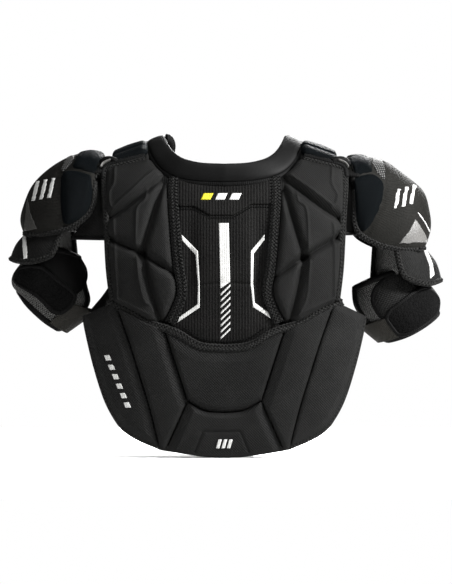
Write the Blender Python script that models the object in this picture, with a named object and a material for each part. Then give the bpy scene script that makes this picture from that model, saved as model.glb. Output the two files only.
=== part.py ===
"""Hockey shoulder pads: padded back, lower back wrap, chest, belly pad and two jointed arms.

The wearer faces +Y, their right arm is at +X and +Z is up. The origin lies midway between the two
flat shoulder rests. Lengths are in metres.
"""

from math import ceil, cos, floor, radians, sin, sqrt

import bmesh
import bpy
from mathutils import Vector

# Trunk: a rounded box section whose depth changes with height. Side -1 is the back, +1 the front.
BACK = -1
FRONT = 1
HALF_WIDTH = 0.235
ROUNDNESS = 2.5
FULL_DEPTH = {BACK: 0.125, FRONT: 0.130}
FULLEST_LEVEL = {BACK: -0.160, FRONT: -0.180}
SHOULDER_REACH = {BACK: 0.190, FRONT: 0.220}
WAIST_TAPER = {BACK: 0.030, FRONT: 0.022}
TRUNK_DROP = 0.280

# Gaps and thicknesses. A depth counts inwards from the outer face.
SEAM = 0.0015
PAD = 0.018
LOWER_PAD = 0.015
SPINE_FACE = 0.002
SPINE_PAD = 0.010
PLATE = 0.0025
LINER = 0.0025
MESH_STEP = 0.040

# Seam points of the back as (distance from the spine, height).
NECK_SEAM = [(0.068, -0.0225), (0.083, -0.0165), (0.098, -0.006), (0.109, 0.008)]
SHOULDER_SEAM = [(0.116, 0.0105), (0.183, -0.005)]
ARM_EDGE = [(0.181, -0.060), (0.178, -0.106), (0.175, -0.157), (0.169, -0.207)]
WAIST_SEAM = [(0.160, -0.2115), (0.142, -0.220), (0.112, -0.237), (0.085, -0.245)]
SPINE_EDGE = [(0.074, -0.234), (0.061, -0.210), (0.055, -0.187), (0.062, -0.145), (0.069, -0.052)]
NAPE_HEIGHT = -0.0295
SPINE_FOOT = [(0.067, -0.253), (0.037, -0.270), (0.0, -0.274)]
LUMBAR_SEAM = [(0.089, -0.2465), (0.055, -0.352), (0.029, -0.366), (0.0, -0.369)]
KIDNEY_SEAM = [(0.142, -0.2625), (0.127, -0.3105), (0.112, -0.360)]
TAIL_HEM = [(0.088, -0.4255), (0.037, -0.4335), (0.0, -0.436)]
KIDNEY_HEM = (0.096, -0.424)
WING_EDGE = [
    (0.172, -0.2075), (0.212, -0.2265), (0.2085, -0.2475), (0.1955, -0.300),
    (0.1785, -0.352), (0.160, -0.3855), (0.146, -0.4000), (0.125, -0.412),
]

# Seam points of the front as (distance from the breastbone, height).
CHEST_NECK = [(0.045, -0.079), (0.078, -0.054), (0.100, -0.025), (0.114, -0.004)]
CHEST_TOP = [(0.118, 0.001), (0.164, 0.001)]
CHEST_SIDE = [(0.164, -0.060), (0.166, -0.120), (0.162, -0.200), (0.140, -0.236)]
STERNUM_TOP = -0.0895
CHEST_FOOT = -0.240
BELLY_EDGE = [(0.138, -0.242), (0.132, -0.290), (0.105, -0.330), (0.060, -0.345)]

# Collar: a flat padded tube round the neck opening, between an outer and an inner edge line.
# The points run from the nape over the wearer's right shoulder to the throat.
COLLAR_OUTER = [
    (0.0, -0.0935, -0.0270), (0.037, -0.0910, -0.0255), (0.067, -0.0835, -0.0205), (0.086, -0.073, -0.013),
    (0.099, -0.059, -0.002), (0.109, -0.042, 0.013), (0.1145, -0.022, 0.026), (0.116, 0.0, 0.0335),
    (0.1155, 0.020, 0.030), (0.111, 0.041, 0.013), (0.099, 0.064, -0.018), (0.077, 0.086, -0.047),
    (0.045, 0.103, -0.073), (0.0, 0.110, -0.0835),
]
COLLAR_INNER = [
    (0.0, -0.087, 0.0005), (0.033, -0.083, 0.002), (0.056, -0.074, 0.007), (0.069, -0.062, 0.0135),
    (0.078, -0.047, 0.022), (0.084, -0.031, 0.031), (0.088, -0.015, 0.039), (0.090, 0.001, 0.0435),
    (0.090, 0.017, 0.040), (0.086, 0.036, 0.025), (0.075, 0.060, -0.003), (0.056, 0.080, -0.027),
    (0.030, 0.096, -0.048), (0.0, 0.103, -0.057),
]
COLLAR_HALF_THICKNESS = 0.0052
COLLAR_SPLIT = 0.715
COLLAR_SECTION = 10

# Shoulder tops: the yoke lies on the shoulder and the epaulette floats over it.
EPAULETTE_X = (0.1205, 0.168)
EPAULETTE_Z = (0.0345, 0.0175)
EPAULETTE_Y = (-0.040, 0.043)
EPAULETTE_THICKNESS = 0.007
YOKE_X = (0.122, 0.170)
YOKE_Y = (-0.036, 0.0445)
YOKE_LEAST = 0.004
SHOULDER_BOW = 6.0

# Arms: ridge and rim lines as (distance from the middle plane, height), from top to bottom.
# The two sides hang a little differently, as soft sleeves do.
CAP_RIDGE = {
    "left": [(0.184, 0.017), (0.205, 0.018), (0.232, 0.010), (0.262, -0.008), (0.287, -0.033),
             (0.302, -0.063), (0.307, -0.082), (0.301, -0.102)],
    "right": [(0.186, 0.012), (0.208, 0.012), (0.238, 0.005), (0.266, -0.014), (0.298, -0.038),
              (0.308, -0.068), (0.310, -0.096), (0.300, -0.125)],
}
CAP_RIM = {
    "left": [(0.194, -0.008), (0.193, -0.037), (0.200, -0.070), (0.229, -0.094), (0.262, -0.103),
             (0.290, -0.105)],
    "right": [(0.195, -0.010), (0.194, -0.055), (0.197, -0.097), (0.226, -0.118), (0.258, -0.126),
              (0.288, -0.128)],
}
CAP_DEPTH = [0.058, 0.074, 0.078, 0.070, 0.050]
CAP_COVER = 0.008
CAP_CUP = 0.0025
CAP_LINER = 0.005
FLAP_RIDGE = {
    "left": [(0.298, -0.1085), (0.315, -0.121), (0.3245, -0.139)],
    "right": [(0.302, -0.132), (0.318, -0.148), (0.3275, -0.172)],
}
FLAP_RIM = {
    "left": [(0.244, -0.111), (0.252, -0.128), (0.268, -0.146)],
    "right": [(0.254, -0.134), (0.264, -0.155), (0.288, -0.178)],
}
FLAP_DEPTH = [0.066, 0.070, 0.066]
FLAP_THICKNESS = 0.007
GUARD_OUTER = {
    "left": [(0.301, -0.1395), (0.318, -0.163), (0.320, -0.1795), (0.311, -0.192)],
    "right": [(0.281, -0.1545), (0.308, -0.1785), (0.323, -0.1995), (0.323, -0.2235)],
}
GUARD_INNER = {
    "left": [(0.211, -0.1425), (0.202, -0.178), (0.203, -0.2145), (0.244, -0.251)],
    "right": [(0.191, -0.1905), (0.192, -0.2145), (0.206, -0.2385), (0.236, -0.266)],
}
GUARD_DEPTH = [0.050, 0.054, 0.052, 0.048]
GUARD_PAD = 0.007
GUARD_PLATE = 0.002
TAB_SHARES = {"left": (0.2, 0.8), "right": (0.4, 1.0)}
ARM_LAYER_GAP = 0.0018

# Straps.
SIDE_STRAP_PATH = [(0.186, -0.052), (0.191, -0.022), (0.190, 0.012), (0.184, 0.040)]
SIDE_TAB_PATH = [(0.1845, 0.0415), (0.1805, 0.058), (0.172, 0.074)]
SIDE_STRAP_Z = (-0.315, -0.277)
GUSSET_PATH = [(0.190, -0.047), (0.206, -0.050), (0.222, -0.047)]
GUSSET_Z = {"left": (-0.110, -0.056), "right": (-0.103, -0.056)}
TONGUE_PATH = [(0.232, -0.028), (0.228, 0.0), (0.232, 0.028)]
TONGUE_Z = {"left": (-0.126, -0.100), "right": (-0.152, -0.124)}
STRAP_THICKNESS = 0.0025
TAB_THICKNESS = 0.0035

# Joint axes. Each body turns about a line through its pivot.
CHEST_PIVOT = (0.0, 0.046, 0.030)
BELLY_PIVOT = (0.0, 0.130, -0.241)
LOWER_PIVOT = (0.0, -0.126, -0.2745)
CAP_PIVOT = {"left": (0.184, 0.0, 0.0185), "right": (0.186, 0.0, 0.0135)}
FLAP_PIVOT = {"left": (0.2985, 0.0, -0.107), "right": (0.3025, 0.0, -0.1305)}
GUARD_PIVOT = {"left": (0.250, 0.0, -0.114), "right": (0.250, 0.0, -0.136)}
TAB_PIVOT = {"left": (0.316, -0.020, -0.170), "right": (0.3195, -0.0195, -0.2045)}
EPAULETTE_PIVOT = (0.1195, 0.0, 0.030)
SIDE_STRAP_PIVOT = (0.186, -0.052, -0.296)

SIDES = {"left": -1, "right": 1}

# Colour, roughness and metallic value of each kind of material.
FINISHES = {
    "black_fabric": ((0.018, 0.018, 0.019), 0.85, 0.0),
    "ribbed_fabric": ((0.022, 0.022, 0.023), 0.80, 0.0),
    "blue_black_fabric": ((0.012, 0.015, 0.020), 0.80, 0.0),
    "printed_fabric": ((0.030, 0.028, 0.024), 0.80, 0.0),
    "neoprene": ((0.012, 0.012, 0.013), 0.60, 0.0),
    "grey_mesh": ((0.170, 0.170, 0.170), 0.90, 0.0),
    "hard_plastic": ((0.040, 0.042, 0.045), 0.35, 0.0),
    "elastic": ((0.090, 0.085, 0.075), 0.85, 0.0),
    "hook_and_loop": ((0.010, 0.010, 0.010), 0.95, 0.0),
}

bodies = {}


def clear_scene():
    for thing in list(bpy.data.objects):
        bpy.data.objects.remove(thing, do_unlink=True)


def new_material(name, finish):
    colour, roughness, metallic = FINISHES[finish]
    material = bpy.data.materials.new(name)
    material.use_nodes = True
    shader = material.node_tree.nodes["Principled BSDF"]
    shader.inputs["Base Color"].default_value = (*colour, 1.0)
    shader.inputs["Roughness"].default_value = roughness
    shader.inputs["Metallic"].default_value = metallic
    return material


def add_body(name, pivot, parent=None):
    """An empty on the body's joint axis, hung from the empty of the body that carries it."""
    empty = bpy.data.objects.new(name + "_body", None)
    bpy.context.collection.objects.link(empty)
    place = Vector(pivot)
    if parent:
        empty.parent = bodies[parent][0]
        place = place - bodies[parent][1]
    empty.location = place
    bodies[name] = (empty, Vector(pivot))


def add_part(name, body, bm, finish):
    """Turns a closed bmesh in world coordinates into a named part of a body."""
    empty, pivot = bodies[body]
    bmesh.ops.translate(bm, verts=bm.verts[:], vec=-pivot)
    bmesh.ops.recalc_face_normals(bm, faces=bm.faces[:])
    mesh = bpy.data.meshes.new(name)
    bm.to_mesh(mesh)
    bm.free()
    mesh.shade_smooth()
    mesh.set_sharp_from_angle(angle=radians(40))
    mesh.materials.append(new_material(name, finish))
    part = bpy.data.objects.new(name, mesh)
    bpy.context.collection.objects.link(part)
    part.parent = empty


def closed_sheet(outer, inner, faces):
    """Joins two matching sheets of points round their edge into one closed body."""
    bm = bmesh.new()
    top = [bm.verts.new(point) for point in outer]
    bottom = [bm.verts.new(point) for point in inner]
    uses = {}
    for face in faces:
        bm.faces.new([top[i] for i in face])
        bm.faces.new([bottom[i] for i in reversed(face)])
        for a, b in zip(face, face[1:] + face[:1]):
            uses[(a, b)] = uses.get((a, b), 0) + 1
    for a, b in uses:
        if (b, a) not in uses:
            bm.faces.new([top[b], top[a], bottom[a], bottom[b]])
    bmesh.ops.triangulate(bm, faces=bm.faces[:])
    return bm


def smooth_line(points, count):
    """Evenly indexed points on a smooth curve through the given ones."""
    ends = [points[0]] + list(points) + [points[-1]]
    line = []
    for k in range(count):
        place = k / (count - 1) * (len(points) - 1)
        i = min(int(place), len(points) - 2)
        t = place - i
        a, b, c, d = (Vector(p) for p in ends[i:i + 4])
        line.append(0.5 * (2 * b + (c - a) * t + (2 * a - 5 * b + 4 * c - d) * t ** 2
                           + (3 * b - a - 3 * c + d) * t ** 3))
    return line


def mirrored(outline):
    return [(-x, z) for x, z in outline]


def inset(outline, gap):
    """Moves each side of an outline inwards, which leaves a seam between neighbours."""
    area = sum(a[0] * b[1] - b[0] * a[1] for a, b in zip(outline, outline[1:] + outline[:1]))
    turn = 1 if area > 0 else -1
    corners = []
    for before, here, after in zip(outline[-1:] + outline[:-1], outline, outline[1:] + outline[:1]):
        first = (Vector(here) - Vector(before)).normalized()
        second = (Vector(after) - Vector(here)).normalized()
        n1 = Vector((-first.y, first.x)) * turn
        n2 = Vector((-second.y, second.x)) * turn
        corners.append(tuple(Vector(here) + (n1 + n2) * gap / max(1 + n1.dot(n2), 0.5)))
    return corners


def half_depth(z, side):
    level = FULLEST_LEVEL[side]
    if z > level:
        rise = (z - level) / SHOULDER_REACH[side]
        return FULL_DEPTH[side] * sqrt(max(1 - rise ** 2, 0.0))
    return FULL_DEPTH[side] - WAIST_TAPER[side] * ((level - z) / TRUNK_DROP) ** 2


def skin(x, z, side):
    """Point on the outer face of the trunk."""
    bow = (1 - (abs(x) / HALF_WIDTH) ** ROUNDNESS) ** (1 / ROUNDNESS)
    return Vector((x, side * half_depth(z, side) * bow, z))


def under_skin(x, z, side, depth):
    """Point at a depth below the outer face, measured square to it."""
    small = 0.0005
    across = skin(x + small, z, side) - skin(x - small, z, side)
    up = skin(x, z + small, side) - skin(x, z - small, side)
    normal = across.cross(up).normalized()
    if normal.y * side < 0:
        normal = -normal
    return skin(x, z, side) - normal * depth


def trunk_panel(name, body, side, outline, start, thickness, finish, gap=SEAM / 2):
    """A panel of the trunk with the given outline, curved to the body."""
    bm = bmesh.new()
    bm.faces.new([bm.verts.new((x, 0, z)) for x, z in inset(outline, gap)])
    for axis, values in enumerate(zip(*outline)):
        direction = Vector((1, 0, 0)) if axis == 0 else Vector((0, 0, 1))
        for k in range(floor(min(values) / MESH_STEP), ceil(max(values) / MESH_STEP) + 1):
            whole = bm.verts[:] + bm.edges[:] + bm.faces[:]
            bmesh.ops.bisect_plane(bm, geom=whole, plane_co=direction * MESH_STEP * k, plane_no=direction)
    bmesh.ops.triangulate(bm, faces=bm.faces[:])
    bm.verts.index_update()
    flat = [(v.co.x, v.co.z) for v in bm.verts]
    faces = [[v.index for v in face.verts] for face in bm.faces]
    bm.free()
    outer = [under_skin(x, z, side, start) for x, z in flat]
    inner = [under_skin(x, z, side, start + thickness) for x, z in flat]
    add_part(name, body, closed_sheet(outer, inner, faces), finish)


def grid_faces(rows, columns):
    faces = []
    for i in range(rows - 1):
        for j in range(columns - 1):
            a = i * columns + j
            faces.append([a, a + 1, a + columns + 1, a + columns])
    return faces


def symmetric(half):
    """A whole outline from its right half, which runs from the top middle round to the bottom middle."""
    return half + [(-x, z) for x, z in reversed(half) if x > 0]


def build_back():
    pad = NECK_SEAM + SHOULDER_SEAM + ARM_EDGE + WAIST_SEAM + SPINE_EDGE
    for name, mirror in (("left", mirrored), ("right", list)):
        trunk_panel("upper_back_pad_" + name, "back", BACK, mirror(pad), 0.0, PAD, "black_fabric")
    spine = [(0.0, NAPE_HEIGHT), NECK_SEAM[0]] + SPINE_EDGE[::-1] + [WAIST_SEAM[-1]] + SPINE_FOOT
    trunk_panel("spine_panel", "back", BACK, symmetric(spine), SPINE_FACE, SPINE_PAD, "ribbed_fabric")
    plate_start = SPINE_FACE + SPINE_PAD + SEAM
    plate = [(0.0, -0.040), (0.044, -0.040), (0.044, -0.180), (0.030, -0.248), (0.0, -0.252)]
    trunk_panel("spine_plate", "back", BACK, symmetric(plate), plate_start, PLATE, "hard_plastic")
    liner = [(0.0, -0.036), (0.070, -0.030), (0.112, -0.012), (0.176, -0.016), (0.172, -0.150),
             (0.163, -0.205), (0.112, -0.232), (0.066, -0.250), (0.0, -0.268)]
    trunk_panel("back_liner", "back", BACK, symmetric(liner), PAD + SEAM, LINER, "grey_mesh")


def build_lower_back():
    lumbar = [WAIST_SEAM[-1]] + LUMBAR_SEAM
    lumbar = SPINE_FOOT[::-1] + lumbar
    tail = [LUMBAR_SEAM[3], LUMBAR_SEAM[2], LUMBAR_SEAM[1]] + TAIL_HEM
    kidney = WAIST_SEAM + LUMBAR_SEAM[:2] + [TAIL_HEM[0], KIDNEY_HEM] + KIDNEY_SEAM[::-1]
    wing = WING_EDGE + [KIDNEY_HEM] + KIDNEY_SEAM[::-1] + [WAIST_SEAM[0], ARM_EDGE[-1]]
    trunk_panel("lumbar_pad", "lower_back", BACK, symmetric(lumbar[:-1] + LUMBAR_SEAM[3:]), 0.0, LOWER_PAD,
                "black_fabric")
    trunk_panel("tail_pad", "lower_back", BACK, symmetric(tail), 0.0, LOWER_PAD, "black_fabric")
    for name, mirror in (("left", mirrored), ("right", list)):
        trunk_panel("kidney_pad_" + name, "lower_back", BACK, mirror(kidney), 0.0, LOWER_PAD, "black_fabric")
        trunk_panel("wrap_wing_" + name, "lower_back", BACK, mirror(wing), 0.0, LOWER_PAD, "black_fabric")
    liner = [(0.0, -0.282), (0.060, -0.264), (0.110, -0.246), (0.166, -0.218), (0.204, -0.234),
             (0.190, -0.300), (0.160, -0.372), (0.100, -0.410), (0.0, -0.424)]
    trunk_panel("lower_liner", "lower_back", BACK, symmetric(liner), LOWER_PAD + SEAM, LINER, "grey_mesh")


def build_chest():
    pad = CHEST_NECK + CHEST_TOP + CHEST_SIDE + [(0.045, CHEST_FOOT)]
    for name, mirror in (("left", mirrored), ("right", list)):
        trunk_panel("chest_pad_" + name, "chest", FRONT, mirror(pad), 0.0, LOWER_PAD, "black_fabric")
    sternum = [(0.0, STERNUM_TOP), CHEST_NECK[0], (0.045, CHEST_FOOT), (0.0, CHEST_FOOT)]
    trunk_panel("sternum_pad", "chest", FRONT, symmetric(sternum), SPINE_FACE, SPINE_PAD, "ribbed_fabric")
    plate_start = LOWER_PAD + SEAM
    plate = [(0.0, -0.104), (0.038, -0.100), (0.038, -0.228), (0.0, -0.232)]
    trunk_panel("sternum_plate", "chest", FRONT, symmetric(plate), plate_start, PLATE, "hard_plastic")
    liner = [(0.0, -0.102), (0.050, -0.094), (0.108, -0.040), (0.156, -0.030), (0.152, -0.190),
             (0.130, -0.230), (0.0, -0.234)]
    liner_start = plate_start + PLATE + SEAM
    trunk_panel("chest_liner", "chest", FRONT, symmetric(liner), liner_start, LINER, "grey_mesh")


def build_belly():
    pad = [(0.0, BELLY_EDGE[0][1])] + BELLY_EDGE + [(0.0, -0.348)]
    trunk_panel("belly_pad", "belly", FRONT, symmetric(pad), 0.0, LOWER_PAD, "black_fabric")


def collar_section(place):
    """Ring of points round the collar. Place 0 is the nape and 1 the throat; below 0 it is mirrored."""
    count = 121
    last = count - 1
    k = round(abs(place) * last)
    outer = smooth_line(COLLAR_OUTER, count)
    inner = smooth_line(COLLAR_INNER, count)
    centre = (outer[k] + inner[k]) / 2
    before = (outer[max(k - 1, 0)] + inner[max(k - 1, 0)]) / 2
    after = (outer[min(k + 1, last)] + inner[min(k + 1, last)]) / 2
    along = (after - before).normalized()
    if k in (0, last):
        along = Vector((1, 0, 0)) if k == 0 else Vector((-1, 0, 0))
    across = (outer[k] - inner[k]) / 2
    normal = along.cross(across).normalized()
    sign = -1 if place < 0 else 1
    ring = []
    for j in range(COLLAR_SECTION):
        turn = radians(360 / COLLAR_SECTION * j) * sign
        point = centre + across * cos(turn) + normal * COLLAR_HALF_THICKNESS * sin(turn) * sign
        ring.append(Vector((sign * point.x, point.y, point.z)))
    return ring


def build_collar(name, body, places):
    """A stretch of the collar through the given places, closed at both ends."""
    bm = bmesh.new()
    rings = [[bm.verts.new(p) for p in collar_section(place)] for place in places]
    for ring, after in zip(rings, rings[1:]):
        for k in range(COLLAR_SECTION):
            n = (k + 1) % COLLAR_SECTION
            bm.faces.new([ring[k], ring[n], after[n], after[k]])
    bm.faces.new(rings[0])
    bm.faces.new(rings[-1])
    bmesh.ops.triangulate(bm, faces=bm.faces[:])
    add_part(name, body, bm, "neoprene")


def build_collars():
    steps = 12
    half = [COLLAR_SPLIT * k / steps for k in range(1, steps + 1)]
    build_collar("collar_back", "back", [-p for p in reversed(half)] + [0.0] + half)
    steps = 6
    start = COLLAR_SPLIT + 0.01
    half = [start + (1 - start) * k / steps for k in range(steps)]
    build_collar("collar_front", "chest", [-p for p in half] + [1.0] + half[::-1])


def shoulder_height(x, y):
    """Height of the epaulette's upper face."""
    run = (x - EPAULETTE_X[0]) / (EPAULETTE_X[1] - EPAULETTE_X[0])
    return EPAULETTE_Z[0] + (EPAULETTE_Z[1] - EPAULETTE_Z[0]) * run - SHOULDER_BOW * y ** 2


def shoulder_plate(name, body, sign, spans, top, bottom, finish):
    """A block over the shoulder between two heights that depend on the place."""
    (x0, x1), (y0, y1) = spans
    rows = 5
    columns = 7
    places = [(x0 + (x1 - x0) * i / (rows - 1), y0 + (y1 - y0) * j / (columns - 1))
              for i in range(rows) for j in range(columns)]
    outer = [(sign * x, y, top(x, y)) for x, y in places]
    inner = [(sign * x, y, bottom(x, y)) for x, y in places]
    add_part(name, body, closed_sheet(outer, inner, grid_faces(rows, columns)), finish)


def build_shoulder_top(name, sign):
    def yoke_top(x, y):
        return shoulder_height(x, y) - EPAULETTE_THICKNESS - SEAM

    shoulder_plate("epaulette_" + name, "epaulette_" + name, sign, (EPAULETTE_X, EPAULETTE_Y),
                   shoulder_height, lambda x, y: shoulder_height(x, y) - EPAULETTE_THICKNESS,
                   "blue_black_fabric")
    shoulder_plate("shoulder_yoke_" + name, "back", sign, (YOKE_X, YOKE_Y), yoke_top,
                   lambda x, y: min(0.0, yoke_top(x, y) - YOKE_LEAST), "black_fabric")


def arm_point(lines, depths, share, angle, centre):
    """Point on an arm shell. The share runs down the arm and the angle round it, 90 at the back."""
    outer, inner = lines
    count = 61
    place = round(min(max(share, 0.0), 1.0) * (count - 1))
    ridge = smooth_line(outer, count)[place]
    rim = smooth_line(inner, count)[place]
    depth = smooth_line([(d, 0.0) for d in depths], count)[place].x
    middle = rim.lerp(ridge, centre)
    flat = middle + (ridge - middle) * cos(radians(angle))
    return Vector((flat.x, -depth * sin(radians(angle)), flat.y)), Vector((middle.x, 0, middle.y))


def arm_shell(name, body, sign, shape, window, layer, finish, grid=(7, 9)):
    """A curved layer of an arm piece.

    shape is (lines, depths, centre), window is (share0, share1, angle0, angle1) and layer is
    (depth below the outer face, thickness).
    """
    lines, depths, centre = shape
    share0, share1, angle0, angle1 = window
    rows, columns = grid
    small = 1 / 60
    outer = []
    inner = []
    for i in range(rows):
        share = share0 + (share1 - share0) * i / (rows - 1)
        low = max(share - small, 0.0)
        high = min(share + small, 1.0)
        for j in range(columns):
            angle = angle0 + (angle1 - angle0) * j / (columns - 1)
            point, middle = arm_point(lines, depths, share, angle, centre)
            down = (arm_point(lines, depths, high, angle, centre)[0]
                    - arm_point(lines, depths, low, angle, centre)[0])
            around = (arm_point(lines, depths, share, angle + 1, centre)[0]
                      - arm_point(lines, depths, share, angle - 1, centre)[0])
            normal = down.cross(around).normalized()
            if normal.dot(point - middle) < 0:
                normal = -normal
            for sheet, depth in ((outer, layer[0]), (inner, layer[0] + layer[1])):
                place = point - normal * depth
                sheet.append((sign * place.x, place.y, place.z))
    add_part(name, body, closed_sheet(outer, inner, grid_faces(rows, columns)), finish)


def build_cap(name, sign):
    shape = ((CAP_RIDGE[name], CAP_RIM[name]), CAP_DEPTH, 0.0)
    window = (0.0, 1.0, -90, 90)
    body = "cap_" + name
    arm_shell("cap_cover_" + name, body, sign, shape, window, (0.0, CAP_COVER), "printed_fabric", (9, 11))
    cup_start = CAP_COVER + ARM_LAYER_GAP
    arm_shell("cap_cup_" + name, body, sign, shape, (0.125, 0.875, -72, 72), (cup_start, CAP_CUP),
              "hard_plastic", (7, 9))
    liner_start = cup_start + CAP_CUP + ARM_LAYER_GAP
    arm_shell("cap_liner_" + name, body, sign, shape, (0.125, 0.875, -72, 72), (liner_start, CAP_LINER),
              "grey_mesh", (7, 9))


def build_flap(name, sign):
    shape = ((FLAP_RIDGE[name], FLAP_RIM[name]), FLAP_DEPTH, 0.0)
    arm_shell("bicep_flap_" + name, "flap_" + name, sign, shape, (0.0, 1.0, -80, 80),
              (0.0, FLAP_THICKNESS), "black_fabric", (5, 9))


def build_guard(name, sign):
    shape = ((GUARD_OUTER[name], GUARD_INNER[name]), GUARD_DEPTH, 0.5)
    body = "bicep_" + name
    arm_shell("bicep_pad_" + name, body, sign, shape, (0.0, 1.0, -140, 140), (0.0, GUARD_PAD),
              "black_fabric", (6, 15))
    plate_start = GUARD_PAD + ARM_LAYER_GAP
    arm_shell("bicep_plate_" + name, body, sign, shape, (0.2, 0.8, -80, 80), (plate_start, GUARD_PLATE),
              "hard_plastic", (4, 9))
    liner_start = plate_start + GUARD_PLATE + ARM_LAYER_GAP
    arm_shell("bicep_liner_" + name, body, sign, shape, (0.0, 1.0, -140, 140), (liner_start, LINER),
              "grey_mesh", (6, 15))
    strap_start = -ARM_LAYER_GAP - STRAP_THICKNESS
    arm_shell("bicep_strap_" + name, body, sign, shape, (0.6, 1.0, 120, 240), (strap_start, STRAP_THICKNESS),
              "elastic", (3, 7))
    tab_start = -ARM_LAYER_GAP - TAB_THICKNESS
    arm_shell("wrap_tab_" + name, "tab_" + name, sign, shape, (*TAB_SHARES[name], 20, 115),
              (tab_start, TAB_THICKNESS), "hook_and_loop", (4, 6))


def strap_band(name, body, sign, path, heights, thickness, finish):
    """A flat band that stands on edge along a path seen from above."""
    columns = 7
    line = smooth_line(path, columns)
    outer = []
    inner = []
    for z in heights:
        for k, place in enumerate(line):
            run = (line[min(k + 1, columns - 1)] - line[max(k - 1, 0)]).normalized()
            side = Vector((run.y, -run.x)) * thickness / 2
            outer.append((sign * (place.x + side.x), place.y + side.y, z))
            inner.append((sign * (place.x - side.x), place.y - side.y, z))
    add_part(name, body, closed_sheet(outer, inner, grid_faces(len(heights), columns)), finish)


def build_sleeve_fabric(name, sign):
    """The dark gusset in the armpit and the mesh tongue that carries the bicep guard."""
    strap_band("armpit_gusset_" + name, "cap_" + name, sign, GUSSET_PATH, GUSSET_Z[name], LINER,
               "black_fabric")
    strap_band("bicep_tongue_" + name, "bicep_" + name, sign, TONGUE_PATH, TONGUE_Z[name], LINER, "grey_mesh")


def build_side_strap(name, sign):
    body = "side_strap_" + name
    strap_band("side_strap_" + name, body, sign, SIDE_STRAP_PATH, SIDE_STRAP_Z, STRAP_THICKNESS, "elastic")
    strap_band("side_tab_" + name, body, sign, SIDE_TAB_PATH, SIDE_STRAP_Z, TAB_THICKNESS, "hook_and_loop")


def add_bodies():
    add_body("back", (0.0, 0.0, 0.0))
    add_body("lower_back", LOWER_PIVOT, "back")
    add_body("chest", CHEST_PIVOT, "back")
    add_body("belly", BELLY_PIVOT, "chest")
    for name, sign in SIDES.items():
        def place(pivot, sign=sign):
            return (sign * pivot[0], pivot[1], pivot[2])

        add_body("epaulette_" + name, place(EPAULETTE_PIVOT), "back")
        add_body("cap_" + name, place(CAP_PIVOT[name]), "back")
        add_body("flap_" + name, place(FLAP_PIVOT[name]), "cap_" + name)
        add_body("bicep_" + name, place(GUARD_PIVOT[name]), "cap_" + name)
        add_body("tab_" + name, place(TAB_PIVOT[name]), "bicep_" + name)
        add_body("side_strap_" + name, place(SIDE_STRAP_PIVOT), "lower_back")


def main():
    clear_scene()
    add_bodies()
    build_back()
    build_lower_back()
    build_chest()
    build_belly()
    build_collars()
    for name, sign in SIDES.items():
        build_shoulder_top(name, sign)
        build_cap(name, sign)
        build_flap(name, sign)
        build_guard(name, sign)
        build_sleeve_fabric(name, sign)
        build_side_strap(name, sign)


main()
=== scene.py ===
"""Looks of the hockey shoulder pads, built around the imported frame.

The wearer faces +Y, their right arm is at +X and +Z is up. Lengths are in metres.
Trunk lines are (x, z) as seen from behind. Arm lines are (distance from the middle plane, z).
"""

import bmesh
import bpy
import numpy as np
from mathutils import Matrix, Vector
from mathutils.bvhtree import BVHTree
from mathutils.geometry import delaunay_2d_cdt


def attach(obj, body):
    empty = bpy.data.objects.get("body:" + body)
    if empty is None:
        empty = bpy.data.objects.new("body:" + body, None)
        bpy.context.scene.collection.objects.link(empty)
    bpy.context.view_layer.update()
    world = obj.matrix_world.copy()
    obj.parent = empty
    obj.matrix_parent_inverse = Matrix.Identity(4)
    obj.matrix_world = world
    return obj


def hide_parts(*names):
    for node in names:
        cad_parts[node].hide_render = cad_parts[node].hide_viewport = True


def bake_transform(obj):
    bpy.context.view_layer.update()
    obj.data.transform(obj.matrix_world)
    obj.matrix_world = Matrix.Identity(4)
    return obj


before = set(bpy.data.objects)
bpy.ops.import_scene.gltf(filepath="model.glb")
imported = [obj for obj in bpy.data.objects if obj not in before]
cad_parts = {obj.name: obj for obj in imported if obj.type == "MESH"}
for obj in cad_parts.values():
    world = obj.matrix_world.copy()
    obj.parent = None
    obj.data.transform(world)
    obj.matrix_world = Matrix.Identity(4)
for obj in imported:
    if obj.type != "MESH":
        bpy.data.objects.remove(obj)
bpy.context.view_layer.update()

BACK = -1
FRONT = 1
SIGN = {"left": -1, "right": 1}

# Trunk surface, the same rounded box section as the frame's.
HALF_WIDTH = 0.235
ROUNDNESS = 2.5
FULL_DEPTH = {BACK: 0.125, FRONT: 0.13}
FULLEST_LEVEL = {BACK: -0.16, FRONT: -0.18}
SHOULDER_REACH = {BACK: 0.19, FRONT: 0.22}
WAIST_TAPER = {BACK: 0.03, FRONT: 0.022}
TRUNK_DROP = 0.28
PAD = 0.018
LOWER_PAD = 0.015
SEAM_GAP = 0.0006

# Seams of the back, for the right half.
NECK_SEAM = [(0.068, -0.0225), (0.083, -0.0165), (0.098, -0.006), (0.109, 0.008)]
SHOULDER_SEAM = [(0.116, 0.0105), (0.183, -0.005)]
ARM_EDGE = [(0.1815, -0.022), (0.181, -0.06), (0.178, -0.106), (0.175, -0.157), (0.169, -0.207)]
WAIST_SEAM = [(0.16, -0.2115), (0.142, -0.22), (0.112, -0.237), (0.085, -0.245)]
PLATEAU_EDGE = [(0.0915, -0.238), (0.078, -0.215), (0.07, -0.187), (0.076, -0.14), (0.083, -0.052),
                (0.0835, -0.0165)]
SPINE_FOOT = [(0.085, -0.245), (0.067, -0.253), (0.037, -0.27), (0.0, -0.274)]
LUMBAR_SIDE = [(0.089, -0.2465), (0.072, -0.299), (0.055, -0.352)]
LUMBAR_FOOT = [(0.055, -0.352), (0.029, -0.366), (0.0, -0.369)]
TAIL_SIDE = [(0.055, -0.352), (0.088, -0.4255)]
TAIL_HEM = [(0.088, -0.4255), (0.037, -0.4335), (0.0, -0.436)]
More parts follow.
